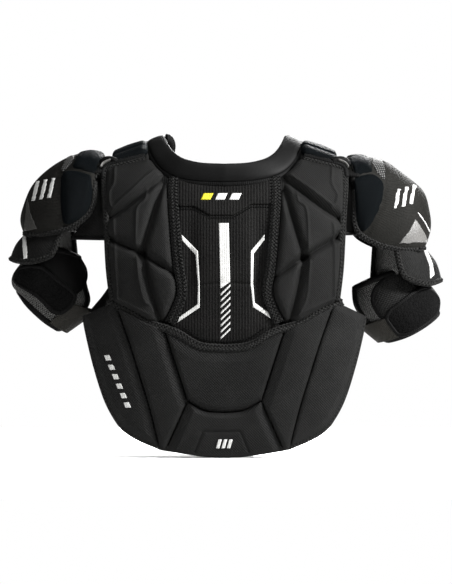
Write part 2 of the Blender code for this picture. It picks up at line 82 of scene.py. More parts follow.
KIDNEY_SEAM = [(0.16, -0.2115), (0.142, -0.2625), (0.127, -0.3105), (0.112, -0.36), (0.096, -0.424)]
WING_SIDE = [(0.172, -0.2075), (0.212, -0.2265)]
WING_EDGE = [(0.212, -0.2265), (0.2085, -0.2475), (0.1955, -0.3), (0.1785, -0.352), (0.16, -0.3855),
             (0.146, -0.4), (0.125, -0.412), (0.096, -0.424)]

# Raised pattern of the upper back pads. The two sides differ a little, as sewn foam does.
PAD_GROOVES = {
    "left": [
        [(-0.182, -0.086), (-0.1568, -0.0705), (-0.0878, -0.0165), (-0.078, -0.009)],
        [(-0.0878, -0.02), (-0.0998, -0.0525), (-0.1087, -0.0825), (-0.1163, -0.1095), (-0.1222, -0.1335)],
        [(-0.182, -0.106), (-0.1583, -0.117), (-0.1222, -0.1335), (-0.0742, -0.1635), (-0.066, -0.168)],
        [(-0.1222, -0.1335), (-0.1118, -0.18), (-0.0953, -0.2325), (-0.093, -0.245)],
    ],
    "right": [
        [(0.076, -0.014), (0.0878, -0.0225), (0.1433, -0.0645), (0.1688, -0.081), (0.182, -0.089)],
        [(0.0848, -0.0225), (0.0983, -0.075), (0.1178, -0.1395)],
        [(0.066, -0.173), (0.0757, -0.168), (0.1178, -0.1395), (0.1628, -0.1125), (0.182, -0.102)],
        [(0.1178, -0.1395), (0.1087, -0.1875), (0.0968, -0.2355), (0.095, -0.246)],
    ],
}
PAD_STEPS = {
    "left": [
        [(-0.1643, -0.066), (-0.1118, -0.018), (-0.0998, -0.0105)],
        [(-0.1163, -0.0375), (-0.1163, -0.054), (-0.1283, -0.0675), (-0.1298, -0.09), (-0.1298, -0.12)],
        [(-0.1283, -0.1395), (-0.1253, -0.1725), (-0.1178, -0.2025), (-0.1087, -0.21), (-0.1042, -0.2205)],
        [(-0.1628, -0.0045), (-0.1628, -0.03), (-0.1688, -0.042), (-0.1688, -0.057), (-0.1658, -0.066)],
        [(-0.1628, -0.0825), (-0.1613, -0.1125), (-0.1598, -0.1455), (-0.1568, -0.2025)],
        [(-0.1568, -0.201), (-0.13, -0.214), (-0.1118, -0.223)],
    ],
    "right": [
        [(0.0985, -0.0195), (0.1313, -0.042), (0.1583, -0.063)],
        [(0.1072, -0.0405), (0.1087, -0.057), (0.1207, -0.0705), (0.1237, -0.1275)],
        [(0.1253, -0.1455), (0.1222, -0.1875), (0.1178, -0.207), (0.1087, -0.225)],
        [(0.1598, -0.0045), (0.1583, -0.03), (0.1658, -0.048), (0.1643, -0.06)],
        [(0.1598, -0.09), (0.1613, -0.1125), (0.1613, -0.198)],
        [(0.16, -0.2), (0.133, -0.212), (0.114, -0.221)],
    ],
}

# Light marks on the spine panel.
BAR = [(-0.0083, -0.0885), (0.0062, -0.0885), (0.0083, -0.1754), (-0.006, -0.1856)]
BRACKET_LEFT = [(-0.0636, -0.1055), (-0.0395, -0.1299), (-0.0368, -0.177), (-0.0368, -0.2136),
                (-0.0699, -0.2357), (-0.0668, -0.2277), (-0.0399, -0.2088), (-0.0392, -0.178),
                (-0.0426, -0.1355), (-0.0629, -0.114)]
BRACKET_RIGHT = [(0.0593, -0.1055), (0.0591, -0.1133), (0.0431, -0.1338), (0.0422, -0.1757),
                 (0.0446, -0.2064), (0.0668, -0.2223), (0.0683, -0.2294), (0.0422, -0.2127),
                 (0.0386, -0.178), (0.039, -0.1299)]
SLANT_COUNT = 8
SLANT_TOP = -0.1805
SLANT_PITCH = 0.0092
YOKE_PATCH_FOOT = [(-0.072, -0.0639), (-0.0447, -0.0639), (-0.0218, -0.077), (0.0128, -0.077),
                   (0.0398, -0.0609), (0.072, -0.0609)]
BACK_LINING = [(0.0, -0.036), (0.07, -0.03), (0.112, -0.012), (0.176, -0.016), (0.172, -0.15),
               (0.163, -0.205), (0.112, -0.232), (0.066, -0.25), (0.0, -0.268)]
LOWER_LINING = [(0.0, -0.282), (0.06, -0.264), (0.11, -0.246), (0.166, -0.218), (0.204, -0.234),
                (0.188, -0.3), (0.164, -0.366), (0.128, -0.4055), (0.096, -0.4205), (0.0, -0.4325)]

# Front of the trunk, for the right half.
CHEST_NECK = [(0.045, -0.079), (0.078, -0.054), (0.1, -0.025), (0.114, -0.004)]
CHEST_TOP = [(0.118, 0.001), (0.164, 0.001)]
CHEST_SIDE = [(0.164, -0.06), (0.166, -0.12), (0.162, -0.2), (0.14, -0.236)]
CHEST_FOOT = [(0.14, -0.236), (0.09, -0.24), (0.045, -0.24)]
BELLY_EDGE = [(0.138, -0.242), (0.132, -0.29), (0.105, -0.33), (0.06, -0.345), (0.0, -0.348)]
CHEST_GROOVES = [
    [(0.04, -0.15), (0.1, -0.112), (0.17, -0.096)],
    [(0.1, -0.112), (0.112, -0.05), (0.128, 0.004)],
    [(0.1, -0.112), (0.096, -0.18), (0.078, -0.245)],
    [(0.096, -0.18), (0.13, -0.19), (0.17, -0.178)],
]
CHEST_LINING = [(0.0, -0.102), (0.05, -0.094), (0.108, -0.04), (0.156, -0.03), (0.152, -0.19),
                (0.13, -0.23), (0.0, -0.234)]

# Collar edge lines, from the nape over the right shoulder to the throat.
COLLAR_OUTER = [
    (0.0, -0.0935, -0.027), (0.037, -0.091, -0.0255), (0.067, -0.0835, -0.0205), (0.086, -0.073, -0.013),
    (0.099, -0.059, -0.002), (0.109, -0.042, 0.013), (0.1145, -0.022, 0.026), (0.116, 0.0, 0.0335),
    (0.1155, 0.02, 0.03), (0.111, 0.041, 0.013), (0.099, 0.064, -0.018), (0.077, 0.086, -0.047),
    (0.045, 0.103, -0.073), (0.0, 0.11, -0.0835),
]
COLLAR_INNER = [
    (0.0, -0.087, 0.0005), (0.033, -0.083, 0.002), (0.056, -0.074, 0.007), (0.069, -0.062, 0.0135),
    (0.078, -0.047, 0.022), (0.084, -0.031, 0.031), (0.088, -0.015, 0.039), (0.09, 0.001, 0.0435),
    (0.09, 0.017, 0.04), (0.086, 0.036, 0.025), (0.075, 0.06, -0.003), (0.056, 0.08, -0.027),
    (0.03, 0.096, -0.048), (0.0, 0.103, -0.057),
]
COLLAR_HALF_THICKNESS = 0.0052

# Arms: ridge and rim lines from top to bottom, and how far each arm reaches fore and aft.
CAP_RIDGE = {
    "left": [(0.18, 0.0165), (0.205, 0.019), (0.234, 0.0125), (0.265, -0.006), (0.2895, -0.031),
             (0.303, -0.063), (0.307, -0.084), (0.302, -0.1035)],
    "right": [(0.182, 0.0115), (0.208, 0.0125), (0.24, 0.0065), (0.268, -0.0125), (0.298, -0.038),
              (0.308, -0.068), (0.31, -0.096), (0.301, -0.1265)],
}
CAP_RIM = {
    "left": [(0.194, -0.008), (0.193, -0.037), (0.2, -0.07), (0.229, -0.094), (0.262, -0.103),
             (0.29, -0.105)],
    "right": [(0.195, -0.01), (0.194, -0.055), (0.197, -0.097), (0.226, -0.118), (0.258, -0.126),
              (0.288, -0.128)],
}
CAP_DEPTH = [0.058, 0.074, 0.078, 0.07, 0.05]
FLAP_RIDGE = {
    "left": [(0.2965, -0.099), (0.3135, -0.1185), (0.3235, -0.1405)],
    "right": [(0.3, -0.1225), (0.318, -0.1455), (0.3275, -0.173)],
}
FLAP_RIM = {
    "left": [(0.237, -0.1), (0.243, -0.13), (0.264, -0.158)],
    "right": [(0.249, -0.123), (0.254, -0.16), (0.278, -0.192)],
}
FLAP_DEPTH = [0.066, 0.07, 0.066]
GUARD_OUTER = {
    "left": [(0.301, -0.1395), (0.318, -0.163), (0.32, -0.1795), (0.311, -0.192)],
    "right": [(0.281, -0.1545), (0.308, -0.1785), (0.323, -0.1995), (0.323, -0.2235)],
}
GUARD_INNER = {
    "left": [(0.211, -0.1425), (0.2005, -0.18), (0.197, -0.2145), (0.243, -0.252)],
    "right": [(0.1865, -0.1895), (0.1875, -0.2145), (0.204, -0.2385), (0.236, -0.266)],
}
GUARD_DEPTH = [0.05, 0.054, 0.052, 0.048]
GUARD_BOW = {"left": (0.015, 0.006), "right": (0.005, 0.0085)}


# ---------------------------------------------------------------- lines and outlines

POINT_GAP = 0.0012
CLEARANCE = 0.0015
RIM_RINGS = (0.0009, 0.0022, 0.004, 0.0065, 0.0095)
CREASE_RINGS = (0.0012, 0.003, 0.0052, 0.008)
MARK_RINGS = (0.0006, 0.0014)
CELL = 0.0009
ROW_STEP = 0.87
SAME_POINT = 1e-5
SLIVER = 1e-10


def spline(a, b, c, d, t):
    """Points between b and c on a smooth line through all four."""
    return 0.5 * (2 * b + (c - a) * t + (2 * a - 5 * b + 4 * c - d) * t ** 2
                  + (3 * b - a - 3 * c + d) * t ** 3)


def shares_of(run, spacing, least):
    """Shares of a run, from its start, in steps of about the given length."""
    count = max(least, int(np.ceil(np.linalg.norm(run) / spacing)))
    return (np.arange(count) / count)[:, None]


def curve(points, spacing=0.004):
    """Points on a smooth line through the given ones, about evenly spaced."""
    given = np.array(points, float)
    ends = np.vstack([2 * given[0] - given[1], given, 2 * given[-1] - given[-2]])
    parts = [spline(a, b, c, d, shares_of(c - b, spacing, 2))
             for a, b, c, d in zip(ends, ends[1:], ends[2:], ends[3:])]
    return np.vstack([*parts, given[-1:]])


def straight(points, spacing=0.004):
    """Points on straight runs between the given ones."""
    given = np.array(points, float)
    parts = [a + (b - a) * shares_of(b - a, spacing, 1) for a, b in zip(given, given[1:])]
    return np.vstack([*parts, given[-1:]])


def looped(corners, spacing=0.004):
    """Points on straight runs round a closed outline."""
    return straight([*corners, corners[0]], spacing)[:-1]


def flip(points):
    """The mirror image across the middle plane."""
    swapped = np.array(points, float)
    swapped[:, 0] *= -1
    return swapped


def sided(points, side):
    return flip(points) if side == "left" else np.array(points, float)


def ring(*lines):
    """One closed outline from lines that follow each other, counterclockwise, without doubled points."""
    joined = np.vstack(lines)
    step = np.linalg.norm(joined - np.roll(joined, 1, axis=0), axis=1)
    joined = joined[step > POINT_GAP]
    x, z = joined.T
    if np.sum(x * np.roll(z, -1) - np.roll(x, -1) * z) < 0:
        joined = joined[::-1]
    return joined


def mirrored(half):
    """A closed outline from its right half."""
    return ring(half, flip(half)[::-1])


def unit(vectors):
    return vectors / np.linalg.norm(vectors, axis=-1, keepdims=True)


def facing(normals, way):
    """The normals, each turned to the side that way points to."""
    return normals * np.where(np.sum(normals * way, axis=1) < 0, -1, 1)[:, None]


def turned(run):
    """Unit vectors square to 2-D steps."""
    run = unit(run)
    return np.column_stack([-run[:, 1], run[:, 0]])


def inward(outline):
    """Unit vectors into a counterclockwise outline, one for each point."""
    return turned(np.roll(outline, -1, axis=0) - np.roll(outline, 1, axis=0))


def shrink(outline, gap=SEAM_GAP):
    return outline + inward(outline) * gap


def distance(points, line, closed=False):
    """How far each point is from a line."""
    starts = line if closed else line[:-1]
    ends = np.roll(line, -1, axis=0) if closed else line[1:]
    best = np.full(len(points), np.inf)
    for a, b in zip(starts, ends):
        run = b - a
        t = np.clip(((points - a) @ run) / max(run @ run, 1e-12), 0, 1)
        gap = points - (a + t[:, None] * run)
        best = np.minimum(best, np.einsum("ij,ij->i", gap, gap))
    return np.sqrt(best)


def inside(points, outline):
    """Which points lie inside a closed outline."""
    x, z = points.T
    odd = np.zeros(len(points), bool)
    for (x0, z0), (x1, z1) in zip(outline, np.roll(outline, -1, axis=0)):
        if z0 != z1:
            odd ^= ((z0 > z) != (z1 > z)) & (x < (x1 - x0) * (z - z0) / (z1 - z0) + x0)
    return odd


def across(line):
    """Unit vectors square to an open 2-D line."""
    return turned(np.gradient(line, axis=0))


def well_inside(points, outline):
    return inside(points, outline) & (distance(points, outline, True) > CLEARANCE)


def region(outline, creases, step, rings):
    """Points and triangles that fill an outline, finely along its edge and its creases."""
    loose = []
    for depth in rings:
        shifted = outline + inward(outline) * depth
        keep = inside(shifted, outline) & (distance(shifted, outline, True) > 0.93 * depth)
        loose.append(shifted[keep])
    for line in creases:
        for depth in CREASE_RINGS:
            for turn in (-1, 1):
                shifted = line + across(line) * depth * turn
                keep = well_inside(shifted, outline)
                for other in creases:
                    keep &= distance(shifted, other) > 0.9 * depth
                loose.append(shifted[keep])
    low, high = outline.min(axis=0), outline.max(axis=0)
    columns = np.arange(low[0], high[0], step)
    rows = np.arange(low[1], high[1], step * ROW_STEP)
    grid = np.array([(x + step / 2 * (k % 2), z) for k, z in enumerate(rows) for x in columns])
    grid = grid[inside(grid, outline)]
    keep = distance(grid, outline, True) > rings[-1] + step * 0.4
    for line in creases:
        keep &= distance(grid, line) > CREASE_RINGS[-1] + step * 0.3
    loose = np.vstack([*loose, grid[keep]])
    _, first = np.unique(np.round(loose / CELL).astype(int), axis=0, return_index=True)
    loose = loose[np.sort(first)]
    points = [outline, loose]
    count = len(outline)
    edges = [(k, (k + 1) % count) for k in range(count)]
    total = count + len(loose)
    for line in creases:
        keep = well_inside(line, outline)
        edges += [(total + k, total + k + 1) for k in range(len(line) - 1) if keep[k] and keep[k + 1]]
        points.append(np.where(keep[:, None], line, outline[0]))
        total += len(line)
    found = delaunay_2d_cdt([Vector(p) for p in np.vstack(points)], edges, [], 0, SAME_POINT)
    spots = np.array([tuple(v) for v in found[0]])
    faces = np.array([f for f in found[2] if len(f) == 3])
    faces = faces[inside(spots[faces].mean(axis=1), outline)]
    a, b, c = (spots[faces[:, k]] for k in range(3))
    area = np.abs((b[:, 0] - a[:, 0]) * (c[:, 1] - a[:, 1]) - (c[:, 0] - a[:, 0]) * (b[:, 1] - a[:, 1]))
    used, faces = np.unique(faces[area > SLIVER], return_inverse=True)
    return spots[used], faces.reshape(-1, 3)


# ---------------------------------------------------------------- pieces

MATERIALS = {}


def piece(name, body, material, points, faces, cloth, stands_for=()):
    """Makes a mesh object of the given points and faces, riding on a body.

    cloth holds each point's place on the unrolled cloth, in metres. body is one name, or
    (first body, second body, start, end) for cloth between two bodies, which then rides on neither and has
    its place baked into its points.
    """
    mesh = bpy.data.meshes.new(name)
    mesh.from_pydata([tuple(p) for p in np.asarray(points, float)], [], [tuple(f) for f in faces])
    layer = mesh.uv_layers.new(name="cloth")
    corners = np.zeros(len(mesh.loops), int)
    mesh.loops.foreach_get("vertex_index", corners)
    layer.data.foreach_set("uv", np.asarray(cloth, float)[corners].ravel())
    bm = bmesh.new()
    bm.from_mesh(mesh)
    bmesh.ops.recalc_face_normals(bm, faces=bm.faces[:])
    bm.to_mesh(mesh)
    bm.free()
    mesh.shade_smooth()
    mesh.materials.append(MATERIALS[material])
    made = bpy.data.objects.new(name, mesh)
    bpy.context.collection.objects.link(made)
    if isinstance(body, str):
        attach(made, body)
    else:
        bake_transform(made)
    if stands_for:
        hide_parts(*stands_for)
    return made


def sheet(made):
    """Reads a piece's places on its unrolled cloth; nothing is done with them."""
    mesh = made.data
    spots = np.zeros(2 * len(mesh.loops))
    mesh.uv_layers["cloth"].data.foreach_get("uv", spots)
    spots = spots.reshape(-1, 2)


def rim_edges(faces):
    """Directed edges that only one face uses."""
    sides = np.vstack([faces[:, [0, 1]], faces[:, [1, 2]], faces[:, [2, 0]]])
    both = {(a, b) for a, b in sides}
    return [(a, b) for a, b in sides if (b, a) not in both]


def rolled(away, radius):
    """How far a rounded edge has dropped at each distance from the edge."""
    rest = 1 - np.clip(away / radius, 0, 1)
    return radius * (1 - np.sqrt(np.clip(1 - rest ** 2, 0, 1)))


THINNEST_HALF = 0.0002
UNDER_ROLL = 0.8


def layers(surface, places, away, top, bottom, roll, under=1.0):
    """Upper and lower points of a padded shape over a surface, rounded towards its edge."""
    base, normal = surface(places)
    high, low = (level(places, away) if callable(level) else np.full(len(places), level)
                 for level in (top, bottom))
    drop = rolled(away, roll)
    middle = (high + low) / 2
    high = np.maximum(high - drop, middle + THINNEST_HALF)
    low = np.minimum(low + drop * under, middle - THINNEST_HALF)
    return np.vstack([base + normal * high[:, None], base + normal * low[:, None]])


def slab(name, body, material, surface, outline, top, bottom, creases=(), roll=0.004, step=0.005,
         stands_for=(), fill=None, cloth=None, rings=RIM_RINGS):
    """A closed padded shape over a surface.

    surface(points) gives places and normals. top and bottom are heights over the surface, as
    numbers or as functions of (points, distance from the edge).
    """
    flat, faces = region(outline, creases, step, rings)
    points = layers(surface, flat, distance(flat, outline, True), top, bottom, roll, UNDER_ROLL)
    count = len(flat)
    sheets = [tuple(f) for f in faces] + [tuple(f[::-1] + count) for f in faces]
    walls = [(b, a, a + count, b + count) for a, b in rim_edges(faces)]
    unrolled = cloth(flat) if cloth else flat
    return piece(name, body, material, points, sheets + walls, np.vstack([unrolled, unrolled]),
                 stands_for)


def tube(rings, corners, closed=False, start=0):
    """Faces of a tube whose rings of points follow each other."""
    faces = []
    for i in range(rings if closed else rings - 1):
        near, far = start + i * corners, start + (i + 1) % rings * corners
        for k in range(corners):
            n = (k + 1) % corners
            faces.append((near + k, near + n, far + n, far + k))
    if not closed:
        last = start + (rings - 1) * corners
        faces += [tuple(range(start, start + corners)), tuple(range(last, last + corners))]
    return faces


def closed_grid(rows, columns):
    """Faces of two grids of points, one over the other, with walls round their edge."""
    count = rows * columns
    faces = []
    for i in range(rows - 1):
        for j in range(columns - 1):
            a = i * columns + j
            quad = (a, a + 1, a + columns + 1, a + columns)
            faces += [quad, tuple(k + count for k in reversed(quad))]
    spots = np.arange(count).reshape(rows, columns)
    rim = [*spots[0], *spots[1:, -1], *spots[-1, -2::-1], *spots[-2:0:-1, 0]]
    return faces + [(b, a, a + count, b + count) for a, b in zip(rim, rim[1:] + rim[:1])]


def frames(line, normals, closed=False):
    """Sideways and upward unit vectors along a 3-D line."""
    if closed:
        run = unit(np.roll(line, -1, axis=0) - np.roll(line, 1, axis=0))
    else:
        run = unit(np.gradient(line, axis=0))
    side = unit(np.cross(normals, run))
    return side, np.cross(run, side)


def lengths(line):
    return np.concatenate([[0], np.cumsum(np.linalg.norm(np.diff(line, axis=0), axis=1))])


TAPE_SHAPE = [(-1, 0.0), (-0.96, 0.55), (-0.82, 0.9), (-0.5, 1.0), (0.0, 1.04), (0.5, 1.0), (0.82, 0.9),
              (0.96, 0.55), (1, 0.0), (0.6, -0.15), (-0.6, -0.15)]
ROUND_SHAPE = [(np.cos(a), 0.5 + 0.5 * np.sin(a)) for a in np.arange(12) * np.pi / 6]


def ribbon(name, body, material, line, normals, width, thickness, shape=TAPE_SHAPE, closed=False,
           stands_for=()):
    """A tape or piping along a 3-D line, lying on its normals."""
    side, up = frames(line, normals, closed)
    section = np.array(shape) * (width / 2, thickness)
    points = line[:, None] + side[:, None] * section[None, :, :1] + up[:, None] * section[None, :, 1:]
    cloth = np.array([(s, x) for s in lengths(line) for x, _ in section])
    return piece(name, body, material, points.reshape(-1, 3), tube(len(line), len(section), closed), cloth,
                 stands_for)


def resample(line, *fields, pitch):
    """The line and its fields again at an even pitch."""
    run = lengths(line)
    count = max(2, int(round(run[-1] / pitch)) + 1)
    places = np.linspace(0, run[-1], count)
    return [np.column_stack([np.interp(places, run, f[:, k]) for k in range(f.shape[1])])
            for f in (line, *fields)]


STITCH_RINGS = 4
STITCH_CORNERS = 5
STITCH_END = 0.55


def stitches(name, body, rows, pitch=0.0056, length=0.0028, radius=0.0012, material="thread"):
    """Rows of short raised stitches. Each row is (line, normals, shift sideways, height)."""
    points = []
    faces = []
    turns = np.arange(STITCH_CORNERS) * 2 * np.pi / STITCH_CORNERS
    corners = np.column_stack([np.cos(turns), np.sin(turns)])
    for line, normals, shift, height in rows:
        line, normals = resample(line, normals, pitch=pitch)
        side, up = frames(line, normals)
        ahead = np.cross(side, up)
        centres = line + side * shift + up * height
        for centre, s, u, a in zip(centres, side, up, ahead):
            faces += tube(STITCH_RINGS, STITCH_CORNERS, start=len(points))
            for k in range(STITCH_RINGS):
                place = k / (STITCH_RINGS - 1) * 2 - 1
                size = radius * (1.0 if abs(place) < 0.5 else STITCH_END)
                middle = centre + a * place * length / 2 - u * radius * place ** 2
                points.extend(middle + s * x * size + u * z * size for x, z in corners)
    points = np.array(points)
    return piece(name, body, material, points, faces, points[:, [0, 2]])


def zigzag(line, normals, width, pitch, height):
    """Points of a thread that runs from side to side along a line."""
    line, normals = resample(line, normals, pitch=pitch / 2)
    side, up = frames(line, normals)
    turn = np.where(np.arange(len(line)) % 2 == 0, -1, 1)[:, None]
    return line + side * turn * width / 2 + up * height, up


# ---------------------------------------------------------------- surfaces


def half_depth(z, side):
    level = FULLEST_LEVEL[side]
    rise = np.clip((z - level) / SHOULDER_REACH[side], 0, 1)
    fall = np.clip((level - z) / TRUNK_DROP, 0, None)
    return FULL_DEPTH[side] * np.sqrt(1 - rise ** 2) - WAIST_TAPER[side] * fall ** 2


def skin(points, side):
    x, z = np.asarray(points, float).T
    bow = (1 - (np.abs(x) / HALF_WIDTH) ** ROUNDNESS) ** (1 / ROUNDNESS)
    return np.column_stack([x, side * half_depth(z, side) * bow, z])


def trunk(side):
    """The trunk's outer face as a surface function."""
    def surface(points):
        points = np.asarray(points, float)
        small = 0.0005
        right = skin(points + (small, 0), side) - skin(points - (small, 0), side)
        rise = skin(points + (0, small), side) - skin(points - (0, small), side)
        return skin(points, side), facing(unit(np.cross(right, rise)), (0, side, 0))
    return surface


UNROLL_X = np.linspace(0, HALF_WIDTH - 0.001, 200)
UNROLL_U = lengths(skin(np.column_stack([UNROLL_X, np.full(200, FULLEST_LEVEL[BACK])]), BACK))


def unrolled_trunk(points):
    """Places on the unrolled trunk cloth."""
    x, z = np.asarray(points, float).T
    return np.column_stack([np.sign(x) * np.interp(np.abs(x), UNROLL_X, UNROLL_U), z])


def on_trunk(line, side=BACK, height=0.0):
    """A 3-D line and its normals at a height over the trunk."""
    base, normal = trunk(side)(line)
    return base + normal * height, normal


FINE_COUNT = 241


class Shell:
    """The curved surface of an arm piece. The share runs down the arm and the angle round it."""

    def __init__(self, side, outer, inner, depths, centre, trim=0.0, bow=(0.0, 0.0)):
        self.sign = SIGN[side]
        self.outer = self.fine(outer)
        self.inner = self.fine(inner)
        self.depth = self.fine([(d, 0.0) for d in depths])[:, 0]
        self.centre = centre
        self.trim = trim
        self.bow = bow
        self.share_length = lengths(self.outer)[-1]
        self.radius = self.depth.mean()

    @staticmethod
    def fine(points):
        given = np.array(points, float)
        ends = np.vstack([given[:1], given, given[-1:]])
        places = np.linspace(0, len(given) - 1, FINE_COUNT)
        index = np.minimum(places.astype(int), len(given) - 2)
        return spline(*(ends[index + k] for k in range(4)), (places - index)[:, None])

    def pick(self, table, share):
        spots = np.linspace(0, 1, FINE_COUNT)
        return np.column_stack([np.interp(share, spots, column) for column in table.T])

    def place(self, share, angle):
        share = share * (1 - self.trim * np.abs(angle / 90) ** 4)
        ridge = self.pick(self.outer, share)
        rim = self.pick(self.inner, share)
        depth = self.pick(self.depth[:, None], share)[:, 0]
        middle = rim + (ridge - rim) * self.centre
        turn = np.radians(angle)
        flat = middle + (ridge - middle) * np.cos(turn)[:, None]
        flat[:, 1] += np.sin(turn) ** 2 * (self.bow[0] * (1 - share) ** 4 - self.bow[1] * share ** 4)
        point = np.column_stack([self.sign * flat[:, 0], -depth * np.sin(turn), flat[:, 1]])
        inner = np.column_stack([self.sign * middle[:, 0], np.zeros(len(middle)), middle[:, 1]])
        return point, inner

    def __call__(self, places):
        """Points and outward normals at (share, angle) places."""
        share, angle = np.asarray(places, float).T
        point, middle = self.place(np.clip(share, 0, 1), angle)
        down = (self.place(np.clip(share + 0.02, 0, 1), angle)[0]
                - self.place(np.clip(share - 0.02, 0, 1), angle)[0])
        around = self.place(share, angle + 1)[0] - self.place(share, angle - 1)[0]
        normal = np.cross(down, around)
        normal /= np.maximum(np.linalg.norm(normal, axis=1)[:, None], 1e-12)
        return point, facing(normal, point - middle)

    def cloth(self, places):
        share, angle = np.asarray(places, float).T
        return np.column_stack([np.radians(angle) * self.radius, share * self.share_length])


def eased(start, end, count):
    """Numbers from start to end that lie closer together near both."""
    t = np.linspace(0, 1, count)
    return start + (end - start) * (t - 0.75 * np.sin(2 * np.pi * t) / (2 * np.pi))


def shell_piece(name, body, material, shell, window, top, bottom, grid, roll=0.003, stands_for=()):
    """A closed layer of an arm shell inside a window of (share, share, angle, angle)."""
    shares = eased(window[0], window[1], grid[0])
    angles = eased(window[2], window[3], grid[1])
    places = np.array([(s, a) for s in shares for a in angles])
    cloth = shell.cloth(places)
    away = np.minimum(cloth - cloth.min(axis=0), cloth.max(axis=0) - cloth).min(axis=1)
    points = layers(shell, places, away, top, bottom, roll)
    return piece(name, body, material, points, closed_grid(*grid), np.vstack([cloth, cloth]), stands_for)


def draped(target):
    """A surface function for patches laid on a finished piece, seen square from the back."""
    mesh = target.data
    tree = BVHTree.FromPolygons([v.co for v in mesh.vertices], [tuple(p.vertices) for p in mesh.polygons])
    away = Vector((0, BACK * 2.0, 0))

    def surface(points):
        found = []
        for x, z in points:
            spot, normal, _, _ = tree.ray_cast(Vector((x, 0, z)) + away, -away)
            if spot is None:
                spot, normal, _, _ = tree.find_nearest(Vector((x, BACK * 0.01, z)))
            found.append((spot, normal))
        places, normals = zip(*found)
        return np.array(places), np.array(normals)
    return surface


# ---------------------------------------------------------------- materials


class Cloth:
    """One material's node tree, with the steps that the fabrics share."""

    def __init__(self, name, slot, roughness, specular):
        material = bpy.data.materials.new(name)
        material.use_nodes = True
        self.tree = material.node_tree
        self.shader = self.tree.nodes["Principled BSDF"]
        self.shader.inputs["Roughness"].default_value = roughness
        self.shader.inputs["Specular IOR Level"].default_value = specular
        MATERIALS[name] = material
        spot = self.tree.nodes.new("ShaderNodeUVMap")
        spot.uv_map = "cloth"
        split = self.tree.nodes.new("ShaderNodeSeparateXYZ")
        self.tree.links.new(spot.outputs["UV"], split.inputs[0])
        self.u = split.outputs["X"]
        self.v = split.outputs["Y"]
        self.object = self.tree.nodes.new("ShaderNodeTexCoord").outputs["Object"]

    def put(self, socket, value):
        if hasattr(value, "default_value"):
            self.tree.links.new(value, socket)
        else:
            socket.default_value = value

    def math(self, operation, first, second=0.0, third=None):
        node = self.tree.nodes.new("ShaderNodeMath")
        node.operation = operation
        self.put(node.inputs[0], first)
        self.put(node.inputs[1], second)
        if third is not None:
            self.put(node.inputs[2], third)
        return node.outputs[0]

    def wave(self, value, period):
        """Goes from 0 to 1 and back once in every period."""
        swing = self.math("SINE", self.math("MULTIPLY", value, 2 * np.pi / period))
        return self.math("MULTIPLY_ADD", swing, 0.5, 0.5)

    def noise(self, size, detail):
        node = self.tree.nodes.new("ShaderNodeTexNoise")
        self.tree.links.new(self.object, node.inputs["Vector"])
        node.inputs["Scale"].default_value = 1 / size
        node.inputs["Detail"].default_value = detail
        return node.outputs["Fac"]

    def blend(self, factor, *colours):
        """Goes from one colour to another. A single number is a grey."""
        node = self.tree.nodes.new("ShaderNodeMix")
        node.data_type = "RGBA"
        self.put(node.inputs["Factor"], factor)
        for socket, colour in zip("AB", colours):
            colour = (colour,) * 3 if isinstance(colour, float) else colour
            node.inputs[socket].default_value = (*colour, 1.0)
        return node.outputs["Result"]

    def ramp(self, value, low, high):
        node = self.tree.nodes.new("ShaderNodeMapRange")
        node.interpolation_type = "SMOOTHSTEP"
        self.put(node.inputs["Value"], value)
        node.inputs["From Min"].default_value = low
        node.inputs["From Max"].default_value = high
        return node.outputs["Result"]

    def finish(self, colour, height, depth):
        self.put(self.shader.inputs["Base Color"], colour)
        bump = self.tree.nodes.new("ShaderNodeBump")
        bump.inputs["Distance"].default_value = depth
        self.put(bump.inputs["Height"], height)
        self.tree.links.new(bump.outputs["Normal"], self.shader.inputs["Normal"])


WEAR_SIZE = 0.045
FIBRE_SIZE = 0.0012
GRAIN_SIZE = 0.0024


def crossed(cloth, period):
    """Threads that pass over and under each other."""
    u, v = cloth.u, cloth.v
    over = cloth.math("MULTIPLY", cloth.wave(u, period), cloth.wave(v, period))
    under = cloth.math("MULTIPLY", cloth.wave(cloth.math("ADD", u, period / 2), period),
                       cloth.wave(cloth.math("ADD", v, period / 2), period))
    return cloth.math("ADD", over, under)


def weave(cloth, kind, period):
    """The height pattern of one kind of cloth, from 0 to 1."""
    u, v = cloth.u, cloth.v
    if kind == "basket":
        return crossed(cloth, period)
    if kind == "rib":
        fine = cloth.math("MULTIPLY", cloth.wave(v, period * 0.45), 0.3)
        return cloth.math("MULTIPLY_ADD", cloth.wave(u, period), 0.7, fine)
    if kind == "knit":
        column = cloth.math("FRACT", cloth.math("DIVIDE", u, period))
        lean = cloth.math("ABSOLUTE", cloth.math("SUBTRACT", column, 0.5))
        return cloth.wave(cloth.math("MULTIPLY_ADD", lean, period, v), period * 0.7)
    if kind == "mesh":
        return cloth.math("SUBTRACT", 1.0, cloth.ramp(crossed(cloth, period), 0.35, 0.75))
    if kind == "slant":
        return cloth.wave(cloth.math("ADD", u, v), period)
    return cloth.noise(period, 3.0)


def fabric(name, slot, dark, light, kind, period, depth, roughness, specular, patches=0.2, contrast=0.62):
    """A cloth whose threads go from a dark to a light colour, with soft patches of wear."""
    cloth = Cloth(name, slot, roughness, specular)
    pattern = weave(cloth, kind, period)
    wear = cloth.ramp(cloth.noise(WEAR_SIZE, 3.0), 0.35, 0.7)
    fibre = cloth.noise(FIBRE_SIZE, 2.0)
    grain = cloth.ramp(cloth.noise(GRAIN_SIZE, 1.0), 0.36, 0.64)
    patchy = cloth.math("MULTIPLY_ADD", wear, patches, cloth.math("MULTIPLY", grain, 0.45 - patches))
    factor = cloth.math("MULTIPLY_ADD", pattern, contrast, patchy)
    height = cloth.math("MULTIPLY_ADD", grain, 0.35, cloth.math("MULTIPLY_ADD", fibre, 0.3, pattern))
    cloth.finish(cloth.blend(factor, dark, light), height, depth)


